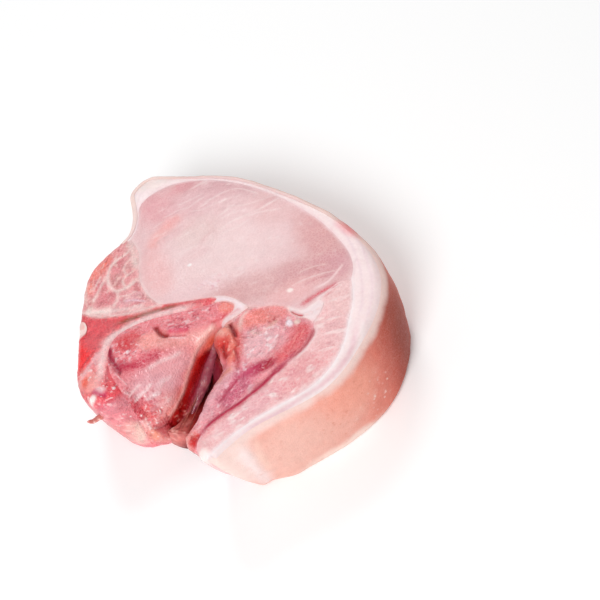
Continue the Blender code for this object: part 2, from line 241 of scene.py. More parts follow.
def noise(points: Array, cell: float, seed: int = 0, octaves: int = 1) -> Array:
    """Smooth noise from -1 to 1: random values at the corners of cubes of the cell's size, blended
    across each cube by the smooth step, and with more octaves halved in size and strength.

    Args:
        points: Places in millimetres, one row each.
        cell: The size of the largest cubes, in millimetres.
        seed: Which of the patterns to take.
        octaves: How many sizes are added up.

    Returns:
        One value for each point.
    """
    total = np.zeros(len(points))
    for octave in range(octaves):
        grid = points / (cell / 2**octave) + 31.7 * (seed + 1)
        low = np.floor(grid).astype(np.int64)
        share = ease(grid - low)
        for corner in range(2 ** points.shape[1]):
            bits = np.array([corner >> axis & 1 for axis in range(points.shape[1])])
            key = (low + bits) * np.array([73856093, 19349663, 83492791])[:points.shape[1]]
            pick = np.bitwise_xor.reduce(key, axis=1) + 7919 * (seed + octave)
            part = np.where(bits, share, 1 - share).prod(axis=1)
            total += LATTICE[pick % len(LATTICE)] * part / 2**octave
    return total / (2 - 2.0 ** (1 - octaves))


# ---------------------------------------------------------------- the common form of the chop

EDGE = spaced(joined(EXPOSED), 1300)
EDGE_INWARD = left_of(EDGE)


def face_height(spots: Array, away: Array, seam: Array, crown: float) -> Array:
    """Height of the upper cut face: the thickness, less broad rolls made of two sines, less a
    hollow that falls off exponentially from the tissue's own outline, less a quarter circle at
    the chop's edge, whose radius grows from the back to the belly.

    Args:
        spots: Chart spots, one row each.
        away: Distance of each from the chop's edge.
        seam: Distance of each from the tissue's own outline.
        crown: How far the tissue stands above its outline.

    Returns:
        One height for each spot, in millimetres.
    """
    belly = np.clip((spots[:, 1] - ROUND_FROM) / (ROUND_TO - ROUND_FROM), 0, 1)
    radius = EDGE_ROUND[0] + (EDGE_ROUND[1] - EDGE_ROUND[0]) * belly
    near = np.clip(1 - away / radius, 0, 1)
    x, y = spots.T / ROLL_LENGTH
    roll = ROLL_HEIGHT * (np.sin(x + 0.6 * y) * np.cos(0.8 * y - 0.3 * x) - 1)
    hollow = crown * np.exp(-seam / CROWN_REACH)
    return THICKNESS + roll - hollow - radius * (1 - np.sqrt(1 - near**2))


def leaned(spots: Array, height: Array, away: Array, foot: Array) -> Array:
    """Where the straight slice's spots stand at a height: walls swell by half a sine, tuck in at
    the sole, and lean in three places by a bell-shaped share of a shift that grows downwards.

    Args:
        spots: Chart spots, one row each.
        height: Their heights.
        away: Distance of each from the chop's edge.
        foot: Place of the nearest point along that edge.

    Returns:
        Places, three numbers each.
    """
    down = np.clip(1 - height / THICKNESS, 0, 1)[:, None]
    hold = np.clip(1 - away / WALL_REACH, 0, 1)[:, None]
    tuck = SOLE_ROUND * np.clip(1 - height / SOLE_HEIGHT, 0, 1)[:, None] ** 2
    reach = np.linalg.norm(spots - CAP_FLANK, axis=1) / CLEFT_REACH
    swell = WALL_BULGE * np.sin(np.pi * down) * np.clip(reach, 0, 1)[:, None]
    count = np.arange(len(EDGE))
    inward = np.column_stack([np.interp(foot, count, EDGE_INWARD[:, i]) for i in range(2)])
    moved = spots + inward * hold * (tuck - swell)
    for place, spread, shift in LEANS:
        weight = np.exp(-0.5 * (((spots - place) / spread) ** 2).sum(axis=1))[:, None]
        moved = moved + weight * down * np.array(shift)
    return np.column_stack([moved, height])


# ---------------------------------------------------------------- marks: colour and relief


def linear(code: str) -> Array:
    """An sRGB hex colour as linear red, green and blue."""
    part = np.array([int(code[i:i + 2], 16) for i in (1, 3, 5)]) / 255
    return np.where(part <= 0.04045, part / 12.92, ((part + 0.055) / 1.055) ** 2.4)


def turned(places: Array, angle: float) -> Array:
    """Places in axes that are turned about the upright by an angle in degrees."""
    cosine, sine = np.cos(np.radians(angle)), np.sin(np.radians(angle))
    return places @ np.array([[cosine, -sine, 0], [sine, cosine, 0], [0, 0, 1]])


@dataclass(frozen=True)
class Patch:
    """An ellipsoid of another colour that may stand proud or be sunk. Its weight is one minus the
    distance in radii, torn by noise and eased over a soft edge."""

    centre: Place
    reach: Place
    colour: str | None = None
    strength: float = 1.0
    lift: float = 0.0
    turn: float = 0.0
    soft: float = 0.45
    ragged: float = 0.25

    def weight(self, places: Array) -> Array:
        """From 0 outside the ellipsoid to 1 well inside it."""
        local = turned(places - self.centre, self.turn) / self.reach
        radius = np.linalg.norm(local, axis=1)
        result = np.zeros(len(places))
        some = radius < 1 + self.soft + self.ragged
        torn = self.ragged * noise(places[some], min(self.reach) * 0.7 + 0.8, 3, 3)
        result[some] = ease((1 + self.soft - radius[some] - torn) / (2 * self.soft))
        return result


@dataclass(frozen=True)
class Strand:
    """A seam, sinew or crease: a bell of the distance from a smooth curve that is laid onto the
    surface, broken up along it by noise and thinned out towards its ends."""

    path: tuple[Place, ...]
    width: float
    colour: str | None = None
    strength: float = 1.0
    lift: float = 0.0
    broken: float = 0.3
    tapered: bool = True

    def weight(self, places: Array) -> Array:
        """From 0 well away from the curve to 1 on it."""
        line = dense_curve(self.path)
        line = spaced(line, max(8, int(length_of(line) / 0.6)))
        low, high = line.min(axis=0) - 4, line.max(axis=0) + 4
        some = ((places > low) & (places < high)).all(axis=1)
        result = np.zeros(len(places))
        if some.sum() < 3:
            return result
        near = places[some]
        gaps = ((line[:, None] - near[None]) ** 2).sum(axis=2)
        shift = near[gaps.argmin(axis=1)] - line
        shift[gaps.min(axis=1) > 6.0] = 0.0
        kernel = np.ones(7) / 7
        padded = np.vstack([shift[:1]] * 3 + [shift] + [shift[-1:]] * 3)
        line = line + np.column_stack([np.convolve(padded[:, i], kernel, "valid")
                                       for i in range(3)])
        away, foot = nearest(line, near)
        share = foot / (len(line) - 1)
        thin = ease(np.minimum(share, 1 - share) * 5 + 0.25) if self.tapered else 1.0
        whole = 1 - self.broken * (0.5 + 0.5 * noise(near, 2.2, 11, 2))
        wander = self.width * (1 + 0.35 * noise(near, 2.6, 5))
        result[some] = np.exp(-((away / wander) ** 2)) * thin * whole
        return result


@dataclass(frozen=True)
class Grain:
    """Specks, bundles or fibres: noise drawn out along a direction, of which what lies above a
    threshold shows, within an ellipsoid or all over."""

    size: float
    colour: str | None = None
    strength: float = 0.5
    lift: float = 0.0
    centre: Place | None = None
    reach: Place = (10.0, 10.0, 10.0)
    turn: float = 0.0
    stretch: float = 1.0
    threshold: float = 0.0
    seed: int = 1

    def weight(self, places: Array) -> Array:
        """The noise above the threshold, times the ellipsoid's own weight."""
        inside = np.ones(len(places))
        if self.centre is not None:
            inside = Patch(self.centre, self.reach, turn=self.turn).weight(places)
        some = inside > 0.01
        result = np.zeros(len(places))
        local = turned(places[some], self.turn) / (self.stretch, 1, 1)
        value = noise(local, self.size, self.seed, 2)
        result[some] = ease((value - self.threshold) / 0.45) * inside[some]
        return result


@dataclass(frozen=True)
class Level:
    """A change of colour with height: a smooth step from a low height to a high one, torn by
    noise."""

    low: float
    high: float
    colour: str | None = None
    strength: float = 1.0
    lift: float = 0.0
    ragged: float = 0.3

    def weight(self, places: Array) -> Array:
        """From 0 at the low height to 1 at the high one, which may be the lower of the two."""
        share = (places[:, 2] - self.low) / (self.high - self.low)
        return ease(share + self.ragged * noise(places, 5.0, 17, 3))


Mark = Patch | Strand | Grain | Level


# ---------------------------------------------------------------- finishes


def add_node(tree: bpy.types.NodeTree, kind: str, inputs: dict, **settings) -> bpy.types.Node:
    """Adds a node to a material.

    Args:
        tree: The material's node tree.
        kind: The node's type name.
        inputs: Socket name or number to a value, or to the output socket that feeds it.
        settings: The node's own properties.

    Returns:
        The node.
    """
    node = tree.nodes.new(kind)
    for name, value in settings.items():
        setattr(node, name, value)
    for name, value in inputs.items():
        if isinstance(value, bpy.types.NodeSocket):
            tree.links.new(value, node.inputs[name])
        else:
            node.inputs[name].default_value = value
    return node


@dataclass(frozen=True)
class Tissue:
    """A fresh raw tissue: wet, soft and a little translucent.

    Its colour is the piece's own `tint`. Cells of the given size have paler walls, as fibre
    bundles and fat lobules do, and two noises mottle and speckle it. Moisture gives a low
    roughness that varies, and light enters a millimetre or two before it leaves. Where the
    piece's `membrane` is 1, a silvery skin hides the cells and shines more.
    """

    name: str
    cell_mm: float
    sheath: str
    sheath_share: float
    contrast: float
    roughness: float
    relief_mm: float
    glow: float = 0.1
    depth_mm: Place = (1.2, 0.6, 0.5)
    specks: float = 0.3
    wetness: float = 0.4
    shine: float = 0.5
    stretch: Place = (1.0, 1.0, 1.0)

    def build(self) -> bpy.types.Material:
        """Makes the material: tint, mottle, cell walls, wetness and relief, in that order."""
        made = bpy.data.materials.new(self.name)
        made.use_nodes = True
        tree = made.node_tree
        tree.nodes.clear()
        per_metre = 1000 / self.cell_mm
        spot = add_node(tree, "ShaderNodeTexCoord", {}).outputs["Object"]
        drawn = add_node(tree, "ShaderNodeMapping", {"Vector": spot, "Scale": self.stretch})
        tint = add_node(tree, "ShaderNodeAttribute", {}, attribute_name="tint").outputs["Color"]
        film = add_node(tree, "ShaderNodeAttribute", {}, attribute_name="membrane").outputs["Fac"]
        bare = add_node(tree, "ShaderNodeMath", {0: 1.0, 1: film}, operation="SUBTRACT").outputs[0]
        broad = add_node(tree, "ShaderNodeTexNoise", {
            "Vector": drawn.outputs[0], "Scale": per_metre / 3, "Detail": 3.0,
            "Roughness": 0.6}).outputs["Fac"]
        fine = add_node(tree, "ShaderNodeTexNoise", {
            "Vector": drawn.outputs[0], "Scale": per_metre * 1.7, "Detail": 2.0,
            "Roughness": 0.6}).outputs["Fac"]
        bent = add_node(tree, "ShaderNodeMapRange", {
            "Value": broad, "From Min": 0.0, "From Max": 1.0, "To Min": -0.5 * self.cell_mm * MM,
            "To Max": 0.5 * self.cell_mm * MM}).outputs[0]
        shifted = add_node(tree, "ShaderNodeVectorMath", {0: drawn.outputs[0], 1: bent},
                           operation="ADD")
        cells = add_node(tree, "ShaderNodeTexVoronoi", {
            "Vector": shifted.outputs[0], "Scale": per_metre, "Randomness": 1.0},
            feature="DISTANCE_TO_EDGE").outputs["Distance"]
        walls = add_node(tree, "ShaderNodeMapRange", {
            "Value": cells, "From Min": 0.0, "From Max": 0.2, "To Min": self.sheath_share,
            "To Max": 0.0}, interpolation_type="SMOOTHSTEP").outputs[0]
        broken = add_node(tree, "ShaderNodeMapRange", {
            "Value": broad, "From Min": 0.35, "From Max": 0.65, "To Min": 0.2,
            "To Max": 1.2}).outputs[0]
        seen = add_node(tree, "ShaderNodeMath", {0: walls, 1: broken},
                        operation="MULTIPLY").outputs[0]
        flecks = add_node(tree, "ShaderNodeMapRange", {
            "Value": fine, "From Min": 0.54, "From Max": 0.68, "To Min": 0.0,
            "To Max": self.specks}, interpolation_type="SMOOTHSTEP").outputs[0]
        seen = add_node(tree, "ShaderNodeMath", {0: seen, 1: flecks}, operation="MAXIMUM").outputs[0]
        seen = add_node(tree, "ShaderNodeMath", {0: seen, 1: bare}, operation="MULTIPLY").outputs[0]
        mottle = add_node(tree, "ShaderNodeMapRange", {
            "Value": broad, "From Min": 0.3, "From Max": 0.7, "To Min": 1 - self.contrast,
            "To Max": 1 + self.contrast}).outputs[0]
        speck = add_node(tree, "ShaderNodeMapRange", {
            "Value": fine, "From Min": 0.3, "From Max": 0.7, "To Min": 1 - self.contrast,
            "To Max": 1 + self.contrast}).outputs[0]
        both = add_node(tree, "ShaderNodeMath", {0: mottle, 1: speck},
                        operation="MULTIPLY").outputs[0]
        both = add_node(tree, "ShaderNodeMath", {0: both, 1: bare, 2: film},
                        operation="MULTIPLY_ADD").outputs[0]
        shade = add_node(tree, "ShaderNodeVectorMath", {0: tint, "Scale": both},
                         operation="SCALE").outputs[0]
        colour = add_node(tree, "ShaderNodeMix", {0: seen, 6: shade,
                                                  7: (*linear(self.sheath), 1.0)},
                          data_type="RGBA").outputs[2]
        wet = add_node(tree, "ShaderNodeMapRange", {
            "Value": broad, "From Min": 0.3, "From Max": 0.7, "To Min": self.roughness - 0.08,
            "To Max": self.roughness + 0.10}).outputs[0]
        wet = add_node(tree, "ShaderNodeMath", {0: film, 1: -0.08, 2: wet},
                       operation="MULTIPLY_ADD").outputs[0]
        rise = add_node(tree, "ShaderNodeMath", {0: cells, 1: 0.8, 2: broad},
                        operation="MULTIPLY_ADD").outputs[0]
        rise = add_node(tree, "ShaderNodeMath", {0: fine, 1: 0.5, 2: rise},
                        operation="MULTIPLY_ADD").outputs[0]
        bump = add_node(tree, "ShaderNodeBump", {
            "Height": rise, "Strength": 1.0, "Distance": self.relief_mm * MM}).outputs[0]
        flesh = add_node(tree, "ShaderNodeBsdfPrincipled", {
            "Base Color": colour, "Roughness": wet, "Normal": bump, "IOR": 1.4,
            "Specular IOR Level": self.shine,
            "Subsurface Weight": self.glow, "Subsurface Radius": self.depth_mm,
            "Subsurface Scale": MM, "Coat Weight": self.wetness, "Coat Roughness": 0.1,
            "Coat IOR": 1.33, "Coat Normal": bump})
        add_node(tree, "ShaderNodeOutputMaterial", {"Surface": flesh.outputs[0]})
        return made


PALE_MUSCLE = Tissue("pale_cut_muscle", 1.2, "#f4dada", 0.22, 0.03, 0.48, 0.12, specks=0.18)
RED_MUSCLE = Tissue("red_cut_muscle", 1.3, "#f3bfc2", 0.26, 0.12, 0.45, 0.34, specks=0.3,
                    wetness=0.8)
FLANK_MUSCLE = Tissue("flank_cut_muscle", 1.5, "#f8dcda", 0.30, 0.05, 0.45, 0.26, specks=0.35,
                      wetness=0.6)
SOFT_FAT = Tissue("soft_white_fat", 2.0, "#fbeeec", 0.14, 0.02, 0.48, 0.12, glow=0.15,
                  specks=0.1)
SCALDED_RIND = Tissue("scalded_rind", 1.0, "#f9d8cc", 0.10, 0.03, 0.58, 0.10, specks=0.12,
                      wetness=0.1, shine=0.25)
SAWN_BONE = Tissue("sawn_bone", 1.0, "#f0908e", 0.18, 0.14, 0.48, 0.26, specks=0.16,
                   wetness=0.7)
LINING = Tissue("cavity_membrane", 2.2, "#a8505a", 0.06, 0.14, 0.40, 0.3, specks=0.08,
                wetness=0.8)


# ---------------------------------------------------------------- pieces


def add_piece(name: str, node: str, places: Array, faces: list, tint: Array,
              membrane: Array, finish: Tissue) -> bpy.types.Object:
    """Puts a surface into the scene as a piece of the chop.

    Args:
        name: The piece's name.
        node: The solid that it stands for.
        places: Chart places of its points.
        faces: The points of each face.
        tint: Linear colour of each point.
        membrane: How far a silvery skin covers each point.
        finish: What it is made of.

    Returns:
        The piece.
    """
    mesh = bpy.data.meshes.new(name)
    mesh.from_pydata(((places - (*CENTRE, 0.0)) * MM).tolist(), [], faces)
    colour = np.column_stack([tint, np.ones(len(tint))]).astype(np.float32)
    mesh.attributes.new("tint", "FLOAT_COLOR", "POINT").data.foreach_set("color", colour.ravel())
    film = mesh.attributes.new("membrane", "FLOAT", "POINT")
    film.data.foreach_set("value", membrane.astype(np.float32))
    mesh.shade_smooth()
    mesh.set_sharp_from_angle(angle=0.9)
    mesh.materials.append(bpy.data.materials.get(finish.name) or finish.build())
    made = bpy.data.objects.new(name, mesh)
    bpy.context.scene.collection.objects.link(made)
    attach(made, "root")
    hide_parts(node)
    return made


@dataclass
class Slice:
    """One tissue as a closed surface over a grid: rows run from the slice's spine out over the cut
    face to its outline, down the wall, and back under the sole to the spine; columns run round."""

    name: str
    node: str
    slot: str
    finish: Tissue
    colour: str
    left: str
    right: str
    insets: Spot = (2.0, 2.0)
    crown: float = 0.0
    step: float = 0.6
    wall_step: float = 0.8
    uneven: float = 0.12
    marks: tuple[Mark, ...] = ()
    film: tuple[Mark, ...] = ()

    def rails(self) -> tuple[Array, Array]:
        """The two rails with equally many points, from one tip of the slice to the other."""
        first, second = joined(self.left), joined(self.right)
        count = int(max(length_of(first), length_of(second)) / self.step)
        return spaced(first, count), spaced(second, count)

    def height(self, spots: Array, away: Array, seam: Array) -> Array:
        """Height of the upper surface at chart spots."""
        return face_height(spots, away, seam, self.crown)

    def surface(self) -> tuple[Array, Array]:
        """The grid of places: the outline plus a share of the way to the spine over the face and
        under the sole, and the outline at falling heights down the wall.

        Returns:
            Places (rows, columns, 3), and how far each is from a seam with a neighbour.
        """
        first, second = self.rails()
        loop = np.vstack([first, second[-2:0:-1]])
        spine = spaced((first + second) / 2, len(first), *self.insets)
        anchor = np.vstack([spine, spine[-2:0:-1]])
        ahead = np.roll(loop, -1, axis=0)
        if (loop[:, 0] * ahead[:, 1] - loop[:, 1] * ahead[:, 0]).sum() < 0:
            loop, anchor = (np.roll(line[::-1], 1, axis=0) for line in (loop, anchor))
        outline = np.vstack([loop, loop[:1]])
        away, foot = nearest(EDGE, loop)
        shut = loop[away > 0.05]
        rows = int(np.linalg.norm(anchor - loop, axis=1).max() / self.step * 1.3) + 4
        share = np.linspace(1, 0, rows + 1)[:, None, None] ** 1.5
        flat = (loop + (anchor - loop) * share).reshape(-1, 2)
        face_away, face_foot = nearest(EDGE, flat)
        tops = self.height(flat, face_away, nearest(outline, flat)[0])
        shape = (rows + 1, len(loop))
        blocks = [leaned(flat, tops, face_away, face_foot).reshape(*shape, 3)]
        gap = [self.gap(shut, flat).reshape(shape)]
        crest = tops.reshape(shape)[-1]
        for fall in np.linspace(1, 0, int(crest.max() / self.wall_step) + 1)[1:]:
            blocks.append(leaned(loop, crest * fall, away, foot)[None])
            gap.append((gap[0][-1] * min(1.0, fall * 8))[None])
        for share in (0.04, 0.2, 0.45, 0.7, 1.0):
            under = loop + (anchor - loop) * share
            low_away, low_foot = nearest(EDGE, under)
            blocks.append(leaned(under, np.zeros(len(under)), low_away, low_foot)[None])
            gap.append(np.zeros((1, len(under))))
        return np.vstack(blocks), np.vstack(gap)

    def gap(self, shut: Array, spots: Array) -> Array:
        """The distance of spots from the parts of the outline that touch a neighbour."""
        gap = np.full(len(spots), np.inf)
        for first in range(0, len(spots), 8000):
            block = spots[first:first + 8000]
            gap[first:first + 8000] = np.sqrt(
                ((block[:, None] - shut[None]) ** 2).sum(axis=2).min(axis=1))
        return gap

    def faces(self, rows: int, columns: int) -> list:
        """The grid's faces, with its first and its last row sewn up along the spine.

        Args:
            rows: How many rows the grid has.
            columns: How many columns go round it.

        Returns:
            The points of each face, in order as seen from outside.
        """
        number = np.arange(rows * columns).reshape(rows, columns)
        twin = np.minimum(np.arange(columns), (columns - np.arange(columns)) % columns)
        number[0], number[-1] = number[0][twin], number[-1][twin]
        beside = np.roll(number, -1, axis=1)
        return np.stack([number[:-1], number[1:], beside[1:], beside[:-1]], axis=2).reshape(-1, 4)

    def build(self) -> bpy.types.Object:
        """Makes the piece with its marks' relief and colours.

        Returns:
            The piece.
        """
        places, gap = self.surface()
        rows, columns = gap.shape
        across = np.roll(places, -1, axis=1) - np.roll(places, 1, axis=1)
        outward = np.cross(np.gradient(places, axis=0), across).reshape(-1, 3)
        outward /= np.maximum(np.linalg.norm(outward, axis=1), 1e-12)[:, None]
        outward[:columns] = (0, 0, 1)
        flat = places.reshape(-1, 3)
        lift = self.uneven * noise(flat, 5.0, 2, 3)
        tint = np.tile(linear(self.colour), (len(flat), 1))
        membrane = np.zeros(len(flat))
        for mark in self.marks + SEAMS:
            weight = mark.weight(flat)
            lift += weight * mark.lift
            if mark.lift <= CREASE:
                membrane = np.maximum(membrane, weight)
            if mark.colour:
                share = (weight * mark.strength)[:, None]
                tint = tint * (1 - share) + linear(mark.colour) * share
        tint = np.maximum(tint - FILM_SHINE, 0.002)
        for mark in self.film:
            membrane = np.maximum(membrane, mark.weight(flat) * mark.strength)
        flat = flat + outward * (lift * ease(gap.reshape(-1) / 1.2))[:, None]
        flat[:, 2] = np.minimum(flat[:, 2], HIGHEST)
        faces = self.faces(rows, columns)
        used = np.unique(faces)
        order = np.zeros(len(flat), int)
        order[used] = np.arange(len(used))
        return add_piece(self.name, self.node, flat[used], order[faces].tolist(),
                         tint[used], membrane[used], self.finish)


@dataclass
class LiningSlice(Slice):
    """The floor of the belly cavity, which hangs from the flank's wall."""

    def height(self, spots: Array, away: Array, seam: Array) -> Array:
        """The floor plus a bell of the distance from the flank's wall."""
        gap, _ = nearest(dense_curve(CURVES["inner_web"]), spots)
        return WEB_FLOOR + WEB_RISE * np.exp(-((gap / WEB_SPREAD) ** 2))


@dataclass
class RindSlice(Slice):
    """The skin: a strip of even thickness along the outer curve of the back fat."""

    def rails(self) -> tuple[Array, Array]:
        """The outer curve, and the same curve moved inwards by the skin's thickness."""
        outer = joined("rind")
        outer = spaced(outer, int(length_of(outer) / self.step))
        inner = outer - left_of(outer) * RIND_THICKNESS
        inner[0], inner[-1] = outer[0], outer[-1]
        return outer, inner


@dataclass
class FatSlice(Slice):
    """The back fat, from just under the skin to the muscles."""

    def rails(self) -> tuple[Array, Array]:
        """The skin's inner curve, and the seams with the muscles."""
        outer = joined("rind")
        count = int(length_of(outer) / self.step)
        outer = spaced(outer, count)
        under = outer - left_of(outer) * (RIND_THICKNESS - 0.15)
        under[0], under[-1] = outer[0], outer[-1]
        return under, spaced(joined(self.right), count)


@dataclass
class Fold:
    """A fold, sinew or scrap: an ellipse carried along a smooth path, which shrinks to nothing at
    both ends by a power of a half sine and swells and narrows between them by noise."""

    name: str
    node: str
    slot: str
    finish: Tissue
    colour: str
    wide: float
    thick: float
    path: tuple[Place, ...]
    facing: Place = (0.1, -0.7, 0.7)
    blunt: float = 0.6
    uneven: float = 0.25
    marks: tuple[Mark, ...] = ()

    def build(self) -> bpy.types.Object:
        """Makes the piece.

        Returns:
            The piece.
        """
        line = dense_curve(self.path)
        rows = max(12, int(length_of(line) / max(0.18, self.thick / 4)))
        line = spaced(line, rows)
        along = np.gradient(line, axis=0)
        along /= np.linalg.norm(along, axis=1)[:, None]
        side = np.cross(np.array(self.facing), along)
        side /= np.linalg.norm(side, axis=1)[:, None]
        front = np.cross(along, side)
        columns = max(8, int(10 * self.wide) + 6)
        angle = np.linspace(0, 2 * np.pi, columns, endpoint=False)[None, :, None]
        size = np.sin(np.pi * np.linspace(0.004, 0.996, rows))[:, None, None] ** self.blunt
        ring = self.wide * np.cos(angle) * side[:, None] + self.thick * np.sin(angle) * front[:, None]
        flat = (line[:, None] + ring * size).reshape(-1, 3)
        wander = (1 + self.uneven * noise(flat, 3.0, 8, 3)).reshape(rows, columns, 1)
        flat = (line[:, None] + ring * size * wander).reshape(-1, 3)
        number = np.arange(rows * columns).reshape(rows, columns)
        beside = np.roll(number, -1, axis=1)
        quads = np.stack([number[:-1], beside[:-1], beside[1:], number[1:]], axis=2).reshape(-1, 4)
        faces = quads.tolist() + [number[0][::-1].tolist(), number[-1].tolist()]
        tint = np.tile(linear(self.colour), (len(flat), 1))
        for mark in self.marks:
            share = (mark.weight(flat) * mark.strength)[:, None]
            tint = tint * (1 - share) + linear(mark.colour) * share
        return add_piece(self.name, self.node, flat, faces,
                         np.maximum(tint - FILM_SHINE, 0.002), np.zeros(len(flat)), self.finish)


def face_line(width: float, colour: str | None, strength: float, *spots: Spot,
              lift: float = 0.0, broken: float = 0.3, tapered: bool = True) -> Strand:
    """A strand over the upper cut face through chart spots."""
    path = tuple((x, y, 34.2) for x, y in spots)
    return Strand(path, width, colour, strength, lift, broken, tapered)


def face_patch(x: float, y: float, wide: float, deep: float, colour: str | None,
               strength: float = 1.0, **more: float) -> Patch:
    """A patch on the upper cut face, reaching a few millimetres down into the wall."""
    return Patch((x, y, 34.0), (wide, deep, 6.0), colour, strength, **more)


def seam(name: str, width: float, colour: str, strength: float, lift: float = 0.0) -> Strand:
    """A line of connective tissue along one of the curves that two tissues share."""
    return face_line(width, colour, strength, *CURVES[name], lift=lift, broken=0.4, tapered=False)


SEAMS = (
    seam("eye_chine", 1.1, "#f0d2d0", 0.75),
    seam("chine_bone", 0.9, "#f3d6d2", 0.8),
    seam("eye_bone", 0.5, "#eeb4b4", 0.7),
    seam("fat_eye", 0.8, "#efcccf", 0.75),
    seam("fat_flank", 0.9, "#f8e8ea", 0.85),
    seam("eye_cap", 0.6, "#f3d2d0", 0.7),
    seam("eye_inner", 0.8, "#f0b6b4", 0.7),
    seam("eye_wedge", 0.7, "#f6dedc", 0.7),
    seam("wedge_inner", 0.6, "#f4cfcc", 0.7),
    seam("wedge_flank", 0.7, "#f4d4d4", 0.7),
    seam("fillet_cap", 0.6, "#f2bcb6", 0.6),
    seam("cap_flank", 0.6, "#f3c4be", 0.6),
    seam("flank_seam", 0.9, "#f0a8b0", 0.5),
    face_line(0.7, "#b03040", 0.9, (29.4, -32), (26.2, -36.6), (22, -40.2), (17, -42.6),
              lift=-0.4, broken=0.2),
    face_line(1.0, "#b41a44", 0.97, (18, -42.2), (9.4, -46.3), (2, -50), (-5, -53),
              (-12, -55.2), (-18.3, -58), (-22.3, -62.0), lift=-0.5, broken=0.0),
    face_line(1.1, "#d8606c", 0.95, (26.8, -20.2), (31.4, -18.6), (35.6, -17.4), (39.9, -17),
              (43.3, -16.2), lift=-0.3, broken=0.1),
    face_line(0.5, "#f8dedd", 0.8, (33, -20.4), (36, -19), (40, -18.2), (44.5, -17.4)),
    face_line(0.5, "#f8dcdc", 0.7, (34, -15), (39.9, -14), (44, -11.4), (47.5, -8.4)),
)


